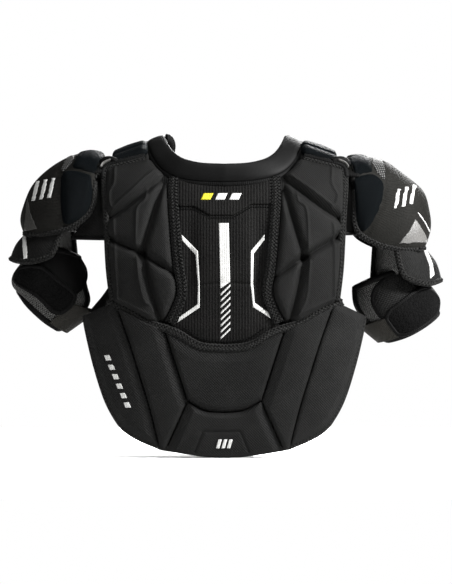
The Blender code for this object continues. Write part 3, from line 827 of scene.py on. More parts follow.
# Name, slot, dark colour, light colour, weave, its period, bump depth, roughness and specular level,
# then patches and contrast where they differ from the usual.
FABRICS = [
    ("black_cloth", "black_fabric", 0.0002, (0.0036, 0.0036, 0.0035), "basket", 0.0033, 0.0005, 0.62,
     0.018),
    ("wrap_cloth", "black_fabric", 0.0004, (0.0037, 0.0037, 0.0036), "basket", 0.004, 0.0006, 0.62, 0.018,
     0.2, 0.58),
    ("ribbed_cloth", "ribbed_fabric", 0.0001, (0.0026, 0.0025, 0.0024), "rib", 0.0044, 0.0006, 0.65, 0.016,
     0.2, 0.48),
    ("blue_black_cloth", "blue_black_fabric", (0.0001, 0.0002, 0.0003), (0.0005, 0.0008, 0.001), "knit",
     0.0016, 0.0003, 0.6, 0.01),
    ("printed_cloth", "printed_fabric", (0.0006, 0.0006, 0.0005), (0.0034, 0.0033, 0.0029), "slant",
     0.003, 0.0003, 0.65, 0.02),
    ("neoprene", "neoprene", 0.0002, 0.001, "fuzz", 0.0015, 0.0001, 0.58, 0.026),
    ("grey_mesh", "grey_mesh", 0.0008, (0.03, 0.03, 0.029), "mesh", 0.0036, 0.0006, 0.85, 0.03, 0.1),
    ("elastic", "elastic", (0.0022, 0.0021, 0.0018), (0.011, 0.0105, 0.0092), "rib", 0.0024, 0.0005, 0.85,
     0.03),
    ("loop_pile", "hook_and_loop", 0.0001, 0.002, "fuzz", 0.0022, 0.0012, 0.95, 0.01),
    ("binding", "black_fabric", 0.0001, 0.001, "rib", 0.003, 0.0003, 0.6, 0.02),
    ("edging", "black_fabric", 0.0001, (0.0066, 0.0066, 0.0064), "basket", 0.0052, 0.0012, 0.75, 0.012,
     0.05),
    ("thread", "black_fabric", 0.0002, 0.0006, "slant", 0.0008, 0.0003, 0.8, 0.02),
    ("white_print", "printed_fabric", (0.09, 0.09, 0.088), (0.15, 0.15, 0.146), "rib", 0.0032, 0.0002, 0.55,
     0.2),
    ("silver_print", "printed_fabric", (0.016, 0.016, 0.0155), (0.034, 0.033, 0.0315), "fuzz", 0.0009,
     0.0003, 0.42, 0.12),
    ("yellow_print", "printed_fabric", (0.09, 0.08, 0.0015), (0.15, 0.135, 0.003), "rib", 0.0032, 0.0002,
     0.55, 0.1),
    # The silver print again, painted darker for the left cap: painted shade, as that cap faces away from
    # the key light.
    ("shaded_silver_print", "printed_fabric", (0.006, 0.006, 0.0057), (0.013, 0.0128, 0.012), "fuzz", 0.0012,
     0.0003, 0.5, 0.04),
]


def make_materials():
    for row in FABRICS:
        fabric(*row)
    dotted = Cloth("dotted_print", "printed_fabric", 0.6, 0.03)
    dots = dotted.ramp(crossed(dotted, 0.005), 0.5, 0.8)
    dotted.finish(dotted.blend(dots, 0.0005, (0.034, 0.034, 0.033)), dots, 0.0002)
    plastic = Cloth("moulded_plastic", "hard_plastic", 0.35, 0.3)
    grain = plastic.noise(0.0016, 4.0)
    plastic.finish(plastic.blend(grain, (0.006, 0.0063, 0.0068), (0.014, 0.0147, 0.0154)), grain, 0.0001)
    floor = Cloth("studio_floor", "black_fabric", 0.9, 0.1)
    speck = floor.noise(0.35, 4.0)
    floor.finish(floor.blend(speck, (0.8, 0.8, 0.795), (0.83, 0.83, 0.825)), speck, 0.0002)


# ---------------------------------------------------------------- trunk, back side

PLATEAU = 0.0048
GROOVE_DEPTH = 0.008
GROOVE_WIDTH = 0.009
PAD_CROWN = 0.0022
CROWN_REACH = 0.018
STEP_HEIGHT = 0.0018
STEP_WIDTH = 0.0015
CREASE_WIDTH = 0.0022
FACET_CROWN = 0.0012
FACET_REACH = 0.02
SPINE_LEVEL = -0.0025
LINING_THICKNESS = 0.0025


def bevelled(away, width):
    """A slope that rises from 0 to 1 over a width and ends softly."""
    t = np.clip(away / width, 0, 1)
    return t * (1.25 - 0.25 * t ** 2)


def bell(away, width):
    """A soft bump of height 1, widest at its foot."""
    return np.exp(-(away / width) ** 2)


def levelled(away, reach):
    """A rise from 0 that levels off at 1."""
    return 1 - np.exp(-away / reach)


def raised_lines(points, lines, height):
    """Fine ridges along lines, added up."""
    return sum(height * bell(distance(points, line), STEP_WIDTH) for line in lines)


def relief(grooves=(), steps=(), plateau=PLATEAU, bevel=0.009, depth=GROOVE_DEPTH, width=GROOVE_WIDTH,
           crown=PAD_CROWN):
    """Height of moulded foam: a crowned plateau cut by grooves, with fine raised lines."""
    def height(points, away):
        found = plateau * bevelled(away, bevel)
        nearest = away
        for line in grooves:
            gap = distance(points, line)
            found = found - depth * (1 - bevelled(gap, width))
            nearest = np.minimum(nearest, gap)
        return found + raised_lines(points, steps, STEP_HEIGHT) + crown * levelled(nearest, CROWN_REACH)
    return height


def faceted(facets, steps, step_height):
    """Height of a moulded panel whose sides slope up to a flat top. Each facet is (line, width, rise)."""
    def height(points, away):
        found = np.full(len(points), np.inf)
        top = max(rise for _, _, rise in facets)
        for line, width, rise in facets:
            share = np.clip(distance(points, line) / width, 0, 1)
            found = np.minimum(found, np.where(share < 1, top - rise * (1 - share), top))
        crown = FACET_CROWN * levelled(away, FACET_REACH)
        return found + raised_lines(points, steps, step_height) + crown
    return height


def trunk_slab(name, body, material, outline, top, bottom, side=BACK, **more):
    """A closed padded shape over the trunk."""
    return slab(name, body, material, trunk(side), outline, top, bottom, cloth=unrolled_trunk, **more)


def faceted_pad(name, outline, facets, stands_for, steps=(), step_height=STEP_HEIGHT):
    """A moulded panel of the lower back, with flat slopes beside its seams."""
    facets = [(curve(line, 0.003), width, rise) for line, width, rise in facets]
    steps = [curve(line, 0.003) for line in steps]
    edges = [line + across(line) * width * turn for line, width, _ in facets for turn in (-1, 1)]
    edges = [edge for edge in edges if inside(edge, outline).mean() > 0.5]
    trunk_slab(name, "lower_back", "wrap_cloth", shrink(outline), faceted(facets, steps, step_height),
               -LOWER_PAD, creases=edges + steps, roll=0.0016, step=0.0055, stands_for=[stands_for],
               fill=0.85)


def moulded_pad(name, body, material, side, outline, thickness, grooves, stands_for, steps=(), **shape):
    """A moulded foam pad of the trunk."""
    grooves = [curve(line, 0.003) for line in grooves]
    steps = [curve(line, 0.003) for line in steps]
    trunk_slab(name, body, material, shrink(outline), relief(grooves, steps, **shape), -thickness, side,
               creases=grooves + steps, roll=0.005, step=0.0055, stands_for=[stands_for], fill=0.85)


def lining(name, body, half, bottom, stands_for, side=BACK):
    """A thin layer of mesh behind the pads of the trunk."""
    made = trunk_slab(name, body, "grey_mesh", mirrored(straight(half)), bottom + LINING_THICKNESS, bottom,
                      side, roll=0.001, step=0.008, stands_for=[stands_for])
    sheet(made)


def whole(half):
    """A line from the left end to the right end, from its right half that starts in the middle."""
    half = np.array(half, float)
    return np.vstack([flip(half)[:0:-1], half])


def build_back():
    for side in SIGN:
        seams = [curve(NECK_SEAM[1:] + SHOULDER_SEAM[:1]), straight(SHOULDER_SEAM), curve(ARM_EDGE),
                 curve(WAIST_SEAM[:-1]), curve(PLATEAU_EDGE)]
        moulded_pad("back_pad_" + side, "back", "black_cloth", BACK, ring(*(sided(s, side) for s in seams)),
                    PAD, PAD_GROOVES[side], "upper_back_pad_" + side, PAD_STEPS[side])
    build_spine()
    build_back_trims()
    for side in SIGN:
        corner = looped([(0.074, -0.012), (0.104, -0.004), (0.104, -0.036), (0.074, -0.04)])
        trunk_slab("collar_corner_" + side, "back", "binding", ring(sided(corner, side)), -0.004, -0.008,
                   roll=0.001)
    lining("back_lining", "back", BACK_LINING, -PAD - 0.004, "back_liner")


def mark(name, body, surface, corners, material="white_print"):
    """A flat printed shape."""
    slab(name, body, material, surface, ring(looped(corners, 0.0025)), 0.0007, -0.0006, roll=0.0003,
         step=0.004, cloth=unrolled_trunk, rings=MARK_RINGS)


def build_nape_marks(surface):
    """Plain slanted bars on the nape patch."""
    low, high = -0.0545, -0.045
    for k in range(3):
        x = -0.035 + 0.021 * k
        corners = [(x, low), (x + 0.014, low), (x + 0.0185, high), (x + 0.0045, high)]
        mark("nape_mark_%d" % (k + 1), "back", lifted(surface, 0.0023), corners,
             "yellow_print" if k == 0 else "white_print")


def build_wrap_marks():
    """Plain short bars on the left wing and the tail of the lower back."""
    top, foot = np.array((-0.176, -0.284)), np.array((-0.144, -0.364))
    run = unit(foot - top)
    side = np.array((-run[1], run[0]))
    for k in range(6):
        start = top + run * 0.015 * k
        corners = [start, start + run * 0.0085, start + run * 0.011 + side * 0.0075,
                   start + run * 0.0025 + side * 0.0075]
        mark("wing_mark_%d" % (k + 1), "lower_back", lifted(trunk(BACK), 0.0066), corners)
    for k, x in enumerate((-0.0125, -0.0045, 0.0035)):
        corners = [(x, -0.421), (x + 0.005, -0.421), (x + 0.0085, -0.408), (x + 0.0035, -0.408)]
        mark("tail_mark_%d" % (k + 1), "lower_back", lifted(trunk(BACK), 0.0068), corners)


def build_spine():
    side = curve([(0.0775, -0.0125), (0.073, -0.052), (0.0665, -0.145), (0.06, -0.187), (0.066, -0.21),
                  (0.08, -0.238)])
    half = np.vstack([straight([(0.0, -0.019), (0.04, -0.0175)]), side, curve(SPINE_FOOT)])
    crease = curve([(-0.036, -0.18), (0.0, -0.177), (0.04, -0.179)])

    def height(points, away):
        x, z = points.T
        hollow = bell(np.abs(x) - 0.05, 0.01)
        return (SPINE_LEVEL + 0.003 * levelled(away, 0.02)
                - 0.0018 * bell(distance(points, crease), CREASE_WIDTH)
                - 0.0042 * hollow * bell(z + 0.14, 0.06))

    spine = trunk_slab("spine_cover", "back", "ribbed_cloth", mirrored(half), height, -0.0125,
                       creases=[crease], roll=0.002, stands_for=["spine_panel"], fill=0.6)
    surface = draped(spine)
    build_nape_marks(surface)
    foot_line = straight(YOKE_PATCH_FOOT)
    patch = ring(curve([(-0.07, -0.016), (0.0, -0.021), (0.07, -0.016)]),
                 straight([(0.07, -0.016), (0.072, -0.0609)]), foot_line[::-1],
                 straight([(-0.072, -0.0639), (-0.07, -0.016)]))
    slab("nape_patch", "back", "ribbed_cloth", surface, patch, 0.0022, -0.0008, roll=0.0014, fill=0.4,
         cloth=unrolled_trunk)
    marks = {"bar": BAR, "bracket_left": BRACKET_LEFT, "bracket_right": BRACKET_RIGHT}
    for k in range(SLANT_COUNT):
        level = SLANT_TOP - SLANT_PITCH * k
        marks["slant_%d" % (k + 1)] = [(-0.0054, level - 0.0155), (0.0084, level - 0.002),
                                       (0.0086, level + 0.0014), (-0.0056, level - 0.0122)]
    for name, outline in marks.items():
        mark("spine_" + name, "back", surface, outline)
    base, normal = surface(foot_line + (0, -0.0035))
    stitches("nape_patch_stitches", "back", [(base[2:-2] + normal[2:-2] * 0.0002, normal[2:-2], 0, 0.0003)],
             pitch=0.0036, length=0.0022)


# A zigzag's step, and its width and the space between two as shares of the tape's width.
ZIGZAG_PITCH = 0.0052
ZIGZAG_WIDTH = 0.26
ZIGZAG_SPACE = 0.42


def sewn_tape(name, body, line, normals, width, thickness, rows, zigzags=0, sink=0.003):
    """A sewn tape: the tape itself, rows of stitches and zigzag threads."""
    ribbon(name, body, "edging", line - normals * sink, normals, width, thickness)
    top = thickness - sink + 0.0002
    stitches(name + "_stitches", body, [(line, normals, shift, top) for shift in rows])
    side, _ = frames(line, normals)
    for k in range(zigzags):
        shift = (k - (zigzags - 1) / 2) * width * ZIGZAG_SPACE
        points, up = zigzag(line + side * shift, normals, width * ZIGZAG_WIDTH, ZIGZAG_PITCH, top)
        ribbon("%s_zigzag_%d" % (name, k + 1), body, "thread", points, up, 0.0009, 0.0007,
               shape=ROUND_SHAPE)


def trunk_tape(name, body, path, height, width, thickness, rows, side=BACK, zigzags=0):
    """A sewn tape along a line at a height over the trunk."""
    sewn_tape(name, body, *on_trunk(path, side, height), width, thickness, rows, zigzags)


def build_back_trims():
    waist = np.vstack([curve([(0.1745, -0.2055)] + WAIST_SEAM)[:-1], curve(SPINE_FOOT)])
    waist = np.vstack([waist[:-1], flip(waist)[::-1]])[::-1]
    trunk_tape("waist_tape", "back", waist, 0.002, 0.0125, 0.0042, (-0.0036, 0.0036))
    line, normal = on_trunk(whole(curve([(0.0, -0.264), (0.034, -0.26), (0.058, -0.245)])),
                            height=-0.0008)
    stitches("spine_foot_stitches", "back", [(line, normal, 0, 0.0006)], pitch=0.0042)
    spine = curve([(0.0755, -0.0195), (0.0765, -0.052), (0.0695, -0.1425), (0.063, -0.187),
                   (0.0695, -0.2125), (0.081, -0.236)])
    arm = curve([(0.118, 0.0085), (0.15, 0.001), (0.171, -0.0045), (0.1785, -0.012), (0.1795, -0.03),
                 (0.1775, -0.06), (0.1745, -0.106), (0.1715, -0.157), (0.166, -0.2035)])
    for side, width in (("left", 0.0092), ("right", 0.0112)):
        trunk_tape("spine_tape_" + side, "back", sided(spine, side), 0.0005, 0.0155, 0.0038,
                   (-0.0066, 0.0066), zigzags=2)
        trunk_tape("arm_edge_tape_" + side, "back", sided(arm, side), 0.002, width, 0.0052,
                   (-0.002, 0.0022))


def build_lower_back():
    foot = curve(LUMBAR_FOOT[::-1])
    waist = curve(SPINE_FOOT[::-1])
    lumbar = np.vstack([waist[:-1], curve(LUMBAR_SIDE), curve(LUMBAR_FOOT)])
    facets = [(whole(waist), 0.02, 0.005), *((sided(LUMBAR_SIDE, side), 0.006, 0.004) for side in SIGN),
              (whole(foot), 0.009, 0.005)]
    faceted_pad("lumbar_cover", mirrored(lumbar), facets, "lumbar_pad")
    tail = np.vstack([foot[:-1], straight(TAIL_SIDE), curve(TAIL_HEM)])
    facets = [(whole(foot), 0.0075, 0.004), *((sided(TAIL_SIDE, side), 0.015, 0.0055) for side in SIGN)]
    recess = straight([(-0.044, -0.4265), (-0.032, -0.3965), (0.023, -0.3965), (0.036, -0.4265)])
    faceted_pad("tail_cover", mirrored(tail), facets, "tail_pad", [recess], -0.0016)
    kidney = [curve(KIDNEY_SEAM)[::-1], curve(WAIST_SEAM), curve(LUMBAR_SIDE), straight(TAIL_SIDE),
              straight([TAIL_SIDE[-1], KIDNEY_SEAM[-1]])]
    wing = [curve(KIDNEY_SEAM), curve(WING_EDGE)[::-1], straight(WING_SIDE[::-1]),
            straight([WING_SIDE[0], KIDNEY_SEAM[0]])]
    for side, rise, reach in (("left", 0.0036, 0.013), ("right", 0.0014, 0.005)):
        panels = [("kidney_cover_", "kidney_pad_", kidney, [(LUMBAR_SIDE, 0.015, 0.0058),
                   (TAIL_SIDE, 0.006, 0.0035), (KIDNEY_SEAM, 0.007, rise)]),
                  ("wrap_wing_cover_", "wrap_wing_", wing, [(WING_EDGE, 0.015, 0.0062),
                   (WING_SIDE, 0.012, 0.004), (KIDNEY_SEAM, reach, rise)])]
        for name, node, lines, facets in panels:
            facets = [(sided(line, side), width, up) for line, width, up in facets]
            faceted_pad(name + side, ring(sided(ring(*lines), side)), facets, node + side)
    short = KIDNEY_SEAM[:-1] + [(0.0975, -0.418)]
    for name, path, shift in (("kidney_seam", short, 0.0), ("lumbar_seam", LUMBAR_SIDE, 0.0022)):
        for side in SIGN:
            seam_stitches("%s_stitches_%s" % (name, side), sided(path, side), shift * SIGN[side])
    seam_stitches("lumbar_foot_stitches", whole(foot), 0.0028)
    build_wrap_marks()
    half = straight([(0.0, -0.236), (0.085, -0.222), (0.13, -0.206), (0.169, -0.198), (0.169, -0.232),
                     (0.112, -0.262), (0.06, -0.288), (0.0, -0.296)], 0.006)
    made = trunk_slab("waist_hinge_cloth", ("back", "lower_back", (0, 0, -0.203), (0, 0, -0.24)),
                      "ribbed_cloth", mirrored(half), -0.0085, -0.0115, roll=0.001, step=0.006)
    sheet(made)
    build_hem()


def seam_stitches(name, path, shift):
    seam, normal = on_trunk(curve(path), height=0.0012)
    stitches(name, "lower_back", [(seam[1:-1], normal[1:-1], shift, 0.0006)])


def build_hem():
    right = np.vstack([curve(TAIL_HEM[::-1]), curve(WING_EDGE[::-1])])
    step = np.linalg.norm(np.diff(right, axis=0, prepend=right[:1] - 1), axis=1)
    edge = whole(right[step > 0.0015])
    shift = across(edge) * 0.003
    trunk_tape("hem_tape", "lower_back", edge + shift * np.sign(shift[len(edge) // 2][1]), -0.001, 0.0098,
               0.0052, (0.0012,))
    lining("lower_lining", "lower_back", LOWER_LINING, -LOWER_PAD - 0.004, "lower_liner")


# ---------------------------------------------------------------- chest and belly


def build_chest():
    half = ring(curve(CHEST_NECK + CHEST_TOP[:1]), straight(CHEST_TOP), curve(CHEST_SIDE),
                straight(CHEST_FOOT), straight([CHEST_FOOT[-1], CHEST_NECK[0]]))
    for side in SIGN:
        moulded_pad("chest_cover_" + side, "chest", "black_cloth", FRONT, ring(sided(half, side)),
                    LOWER_PAD, [sided(line, side) for line in CHEST_GROOVES], "chest_pad_" + side,
                    depth=0.005)

    def height(points, away):
        crease = bell(np.abs(points[:, 0]) - 0.028, CREASE_WIDTH)
        return SPINE_LEVEL + 0.0035 * levelled(away, 0.015) - 0.0014 * crease

    sternum = straight([(0.0, -0.0895), (0.05, -0.079), (0.05, -0.24), (0.0, -0.24)])
    trunk_slab("sternum_cover", "chest", "ribbed_cloth", mirrored(sternum), height, -0.0125, FRONT,
               roll=0.002, stands_for=["sternum_pad"], fill=0.6)
    lining("chest_lining", "chest", CHEST_LINING, -0.023, "chest_liner", FRONT)
    seam = curve([(0.0475, -0.0835), (0.0475, -0.16), (0.0475, -0.234)])
    edge = curve([(0.1605, -0.004), (0.161, -0.06), (0.163, -0.12), (0.159, -0.198),
                  (0.14, -0.232)])
    for side in SIGN:
        trunk_tape("sternum_tape_" + side, "chest", sided(seam, side), 0.0005, 0.013, 0.0036,
                   (-0.0045, 0.0045), FRONT, zigzags=1)
        trunk_tape("chest_edge_tape_" + side, "chest", sided(edge, side), -0.0002, 0.009, 0.005, (0.002,),
                   FRONT)
    trunk_tape("chest_foot_tape", "chest", straight([(-0.138, -0.2375), (0.138, -0.2375)]), 0.0002, 0.01,
               0.0042, (-0.0025, 0.0025), FRONT)


def build_belly():
    half = np.vstack([straight([(0.0, BELLY_EDGE[0][1]), BELLY_EDGE[0]])[:-1], curve(BELLY_EDGE)])
    grooves = [[(-0.14, -0.284), (-0.06, -0.3), (0.06, -0.3), (0.14, -0.284)],
               [(0.06, -0.3), (0.048, -0.352)], [(-0.06, -0.3), (-0.048, -0.352)],
               [(0.06, -0.3), (0.07, -0.238)], [(-0.06, -0.3), (-0.07, -0.238)]]
    moulded_pad("belly_cover", "belly", "wrap_cloth", FRONT, mirrored(half), LOWER_PAD, grooves,
                "belly_pad", depth=0.0045)
    hinge = looped([(-0.13, -0.226), (0.13, -0.226), (0.13, -0.256), (-0.13, -0.256)], 0.006)
    made = trunk_slab("belly_hinge_cloth", ("chest", "belly", (0, 0, -0.232), (0, 0, -0.25)),
                      "ribbed_cloth", ring(hinge), -0.0105, -0.0135, FRONT, roll=0.001, step=0.006)
    sheet(made)
    edge = curve(BELLY_EDGE)
    middle = edge - across(edge) * 0.003 * np.sign(across(edge)[0][0])
    trunk_tape("belly_tape", "belly", np.vstack([flip(middle), middle[-2::-1]]), -0.001, 0.0078, 0.005,
               (0.0,), FRONT)


# ---------------------------------------------------------------- collar and shoulder tops


COLLAR_CORNERS = 28


def build_collar():
    half = curve(COLLAR_OUTER)
    inner = curve(COLLAR_INNER, 0.002)
    run, wanted = lengths(inner), lengths(half)
    wanted = wanted / wanted[-1] * run[-1]
    inner = np.column_stack([np.interp(wanted, run, column) for column in inner.T])
    outer, inner = (np.vstack([line[:-1], flip(line)[::-1][:-1]]) for line in (half, inner))
    centre = (outer + inner) / 2
    reach = (outer - inner) / 2
    normal = unit(np.cross(unit(np.roll(centre, -1, axis=0) - np.roll(centre, 1, axis=0)), reach))
    turns = np.arange(COLLAR_CORNERS) * 2 * np.pi / COLLAR_CORNERS
    flat, thick = (np.sign(wave) * np.abs(wave) ** power
                   for wave, power in ((np.cos(turns), 0.8), (np.sin(turns), 0.75)))
    thick = thick * COLLAR_HALF_THICKNESS
    points = centre[:, None] + reach[:, None] * flat[None, :, None] + normal[:, None] * thick[None, :, None]
    cloth = np.array([(s, turn * 0.012) for s in lengths(centre) for turn in turns])
    span = ("back", "chest", (0, 0.034, 0.0), (0, 0.078, 0.0))
    piece("collar", span, "neoprene", points.reshape(-1, 3), tube(len(centre), COLLAR_CORNERS, True), cloth,
          ["collar_back", "collar_front"])
    fold = curve([(-0.0905, 0.004, 0.0395), (-0.0855, 0.006, 0.0385), (-0.0825, 0.008, 0.03),
                  (-0.085, 0.01, 0.015)], 0.002)
    ribbon("collar_fold_left", span, "binding", fold, repeated((0.0, -1.0, 0.0), fold), 0.0175, 0.012,
           shape=ROUND_SHAPE)
    rear = curve(COLLAR_OUTER[:8])
    rear = np.vstack([flip(rear)[:0:-1], rear])
    tuck = np.column_stack([-np.sign(rear[:, 0]) * 0.001, repeated((0.006, -0.0035), rear)])
    ribbon("collar_seam_roll", "back", "binding", rear + tuck, repeated((0.0, -0.8, 0.6), rear), 0.014,
           0.008, shape=ROUND_SHAPE)
    face = facing(normal, centre - (0, 0, -0.15))
    row = centre + reach * 0.8 + face * COLLAR_HALF_THICKNESS * 0.62
    stitches("collar_stitches", span, [(np.vstack([row, row[:1]]), np.vstack([face, face[:1]]), 0, 0)],
             pitch=0.0045, length=0.0026, radius=0.0004)


def repeated(vector, line):
    """One vector for each point of a line."""
    return np.tile(np.array(vector, float), (len(line), 1))


def shoulder_height(x, y):
    run = (x - 0.1205) / 0.0475
    return 0.0345 - 0.017 * run - 6.0 * y ** 2


def shoulder_surface(sign, lower=0.0):
    """The top of a shoulder as a surface function of (distance from the middle plane, y)."""
    def surface(points):
        x, y = points.T
        top = np.column_stack([sign * x, y, shoulder_height(x, y) - lower])
        return top, unit(np.column_stack([np.full(len(x), sign * 0.358), 12.0 * y, np.ones(len(x))]))
    return surface


def rounded_box(x0, x1, y0, y1):
    """A rectangle's outline with cut corners."""
    cut, small = 0.006, 0.0018
    return ring(looped([(x0 + cut, y0), (x1 - cut, y0), (x1 - small, y0 + small), (x1, y0 + cut),
                        (x1, y1 - cut), (x1 - small, y1 - small), (x1 - cut, y1), (x0 + cut, y1),
                        (x0 + small, y1 - small), (x0, y1 - cut), (x0, y0 + cut),
                        (x0 + small, y0 + small)]))


def build_shoulder_top(side):
    sign = SIGN[side]
    grooves = [curve([(0.1165, y), (0.17, y)]) for y in (-0.03, 0.03)]
    slab("epaulette_cover_" + side, "epaulette_" + side, "blue_black_cloth", shoulder_surface(sign),
         rounded_box(0.1165, 0.17, -0.052, 0.05),
         relief(grooves, plateau=0.0042, bevel=0.006, depth=0.003, width=0.005, crown=0.0026), -0.0075,
         creases=grooves, roll=0.0036, stands_for=["epaulette_" + side], fill=0.8)
    slab("yoke_cover_" + side, "back", "black_cloth", shoulder_surface(sign, 0.0085),
         rounded_box(0.115, 0.177, -0.06, 0.056), 0.0, -0.009, roll=0.004,
         stands_for=["shoulder_yoke_" + side], fill=0.8)
    build_shoulder_edge(side)


def build_shoulder_edge(side):
    """The rolled binding along the shoulder of the back, with its small light tab."""
    sign = SIGN[side]
    path = curve([(0.119, 0.0115), (0.15, 0.004), (0.172, -0.0015), (0.18, -0.0085),
                  (0.1815, -0.02)], 0.002)
    line, normal = on_trunk(sided(path, side), height=-0.001)
    ribbon("shoulder_roll_" + side, "back", "binding", line, normal, 0.008, 0.0072, shape=ROUND_SHAPE)
    stitches("shoulder_roll_stitches_" + side, "back", [(line[4:-4], normal[4:-4], 0.0022 * sign, 0.0071)],
             material="edging", radius=0.0007)
    loop = curve([(0.162, -0.052, 0.002), (0.169, -0.05, 0.005), (0.177, -0.047, 0.0045),
                  (0.184, -0.044, -0.002), (0.186, -0.042, -0.012)], 0.002) * (sign, 1, 1)
    ribbon("shoulder_loop_" + side, "back", "binding", loop, repeated((sign * 0.35, -0.5, 0.8), loop),
           0.01, 0.0085, shape=ROUND_SHAPE)
    chosen = (path[:, 0] > 0.166) & (path[:, 1] > -0.011)
    ribbon("shoulder_tab_" + side, "back", "silver_print", line[chosen] + (sign * 0.004, -0.001, 0.006),
           normal[chosen], 0.0024, 0.0046)


def loft(name, body, material, lines, thickness, columns, rows, stands_for=()):
    """A soft sheet through several 3-D lines, closed with its own thickness."""
    knots = []
    for line in lines:
        fine = curve(line, 0.002)
        knots.append(resample(fine, pitch=lengths(fine)[-1] / (columns - 1))[0][:columns])
    picked = np.linspace(0, FINE_COUNT - 1, rows).astype(int)
    grid = np.array([Shell.fine(knot)[picked] for knot in np.stack(knots, axis=1)])
    normal = unit(np.cross(np.gradient(grid, axis=0), np.gradient(grid, axis=1)))
    u = np.linspace(0, 1, columns)[:, None]
    v = np.linspace(0, 1, rows)[None, :]
    edge = np.minimum(np.minimum(u, 1 - u) * columns, np.minimum(v, 1 - v) * rows)
    rise = normal * (thickness / 2 * np.clip(0.45 + 0.55 * edge, 0, 1))[:, :, None]
    points = np.vstack([(grid + rise).reshape(-1, 3), (grid - rise).reshape(-1, 3)])
    size_u = lengths(grid[:, rows // 2])[-1]
    size_v = lengths(grid[columns // 2])[-1]
    cloth = np.stack(np.broadcast_arrays(u * size_u, v * size_v), axis=2).reshape(-1, 2)
    return piece(name, body, material, points, closed_grid(columns, rows), np.vstack([cloth, cloth]),
                 stands_for)


# ---------------------------------------------------------------- arms


def located(shell, points, last_angle=90):
    """Places on the unrolled cloth of a shell for (distance from the middle plane, z) points seen
    from behind."""
    places = np.array([(s, a) for s in np.linspace(0, 1, 121) for a in np.linspace(0, last_angle, 91)])
    spots = shell.place(*places.T)[0][:, [0, 2]] * (shell.sign, 1)
    found = [np.argmin(((spots - p) ** 2).sum(axis=1)) for p in np.array(points, float)]
    return shell.cloth(places[found])


def on_cloth(shell):
    """The shell as a function of places on its unrolled cloth."""
    def surface(points):
        u, v = np.asarray(points, float).T
        return shell(np.column_stack([v / shell.share_length, np.degrees(u / shell.radius)]))
    return surface


def wrapped(line):
    """An outline that goes round the ridge: a line on the back half and its mirror image."""
    return ring(line, (line * (-1, 1))[::-1])


def smooth_patch(points):
    """A closed outline with its corners eased."""
    given = np.array(points, float)
    for _ in range(2):
        after = np.roll(given, -1, axis=0)
        given = np.stack([given * 0.82 + after * 0.18, given * 0.18 + after * 0.82], axis=1).reshape(-1, 2)
    return ring(looped(given, 0.003))


def lifted(surface, amount):
    """The surface again, moved outwards."""
    def raised(points):
        spots, normal = surface(points)
        return spots + normal * amount, normal
    return raised


CAP_SEAM = {
    "left": [(0.2363, 0.0075), (0.2452, -0.0105), (0.2452, -0.0525), (0.2393, -0.093)],
    "right": [(0.2378, 0.0045), (0.2393, -0.0225), (0.2348, -0.057), (0.2243, -0.0795), (0.2107, -0.1065)],
}
CAP_SIDE_PAD = {
    "left": [(0.245, -0.0375), (0.244, -0.011), (0.233, -0.0075), (0.218, -0.0085), (0.1985, -0.015),
             (0.1955, -0.04), (0.199, -0.064), (0.212, -0.083), (0.2395, -0.093)],
    "right": [(0.192, -0.019), (0.2003, -0.015), (0.2213, -0.0125), (0.239, -0.024), (0.2365, -0.0525),
              (0.227, -0.077), (0.2085, -0.103), (0.1975, -0.096), (0.193, -0.06)],
}
CAP_TOP_PAD = {
    "left": [(0.223, 0.016), (0.2275, 0.002), (0.229, -0.006), (0.216, -0.01), (0.196, -0.015),
             (0.19, -0.008), (0.185, 0.005), (0.181, 0.017)],
    "right": [(0.219, 0.011), (0.2215, 0.0), (0.2225, -0.012), (0.209, -0.0155), (0.194, -0.0175),
              (0.191, -0.008), (0.187, 0.002), (0.183, 0.012)],
}
CAP_BAND = {
    "left": [(0.236, 0.011), (0.24, 0.003), (0.244, -0.008), (0.241, -0.0105), (0.234, -0.004),
             (0.229, 0.002), (0.225, 0.014)],
    "right": [(0.237, 0.006), (0.2395, -0.006), (0.239, -0.022), (0.23, -0.015), (0.2225, -0.003),
              (0.2215, 0.009)],
}
CAP_LIGHT = {
    "left": [(0.295, -0.048), (0.2903, -0.072), (0.2843, -0.0855), (0.2797, -0.096), (0.299, -0.099)],
    "right": [(0.26, -0.118), (0.2737, -0.101), (0.285, -0.082), (0.295, -0.0965), (0.306, -0.115)],
}
CAP_LINE = [(0.2885, -0.0722), (0.2897, -0.0716), (0.2992, -0.085), (0.3077, -0.099), (0.3065, -0.0996),
            (0.298, -0.0857)]


def rim_path(edge, start, end, down_count, turn_count):
    """(share, angle) places along the free edge of a hood, from one side round to the other."""
    down = np.linspace(start, end, down_count)
    turn = np.linspace(edge, -edge, turn_count)[1:-1]
    parts = ((down, edge), (end, turn), (down[::-1], -edge))
    return np.vstack([np.column_stack(np.broadcast_arrays(*part)) for part in parts]).astype(float)


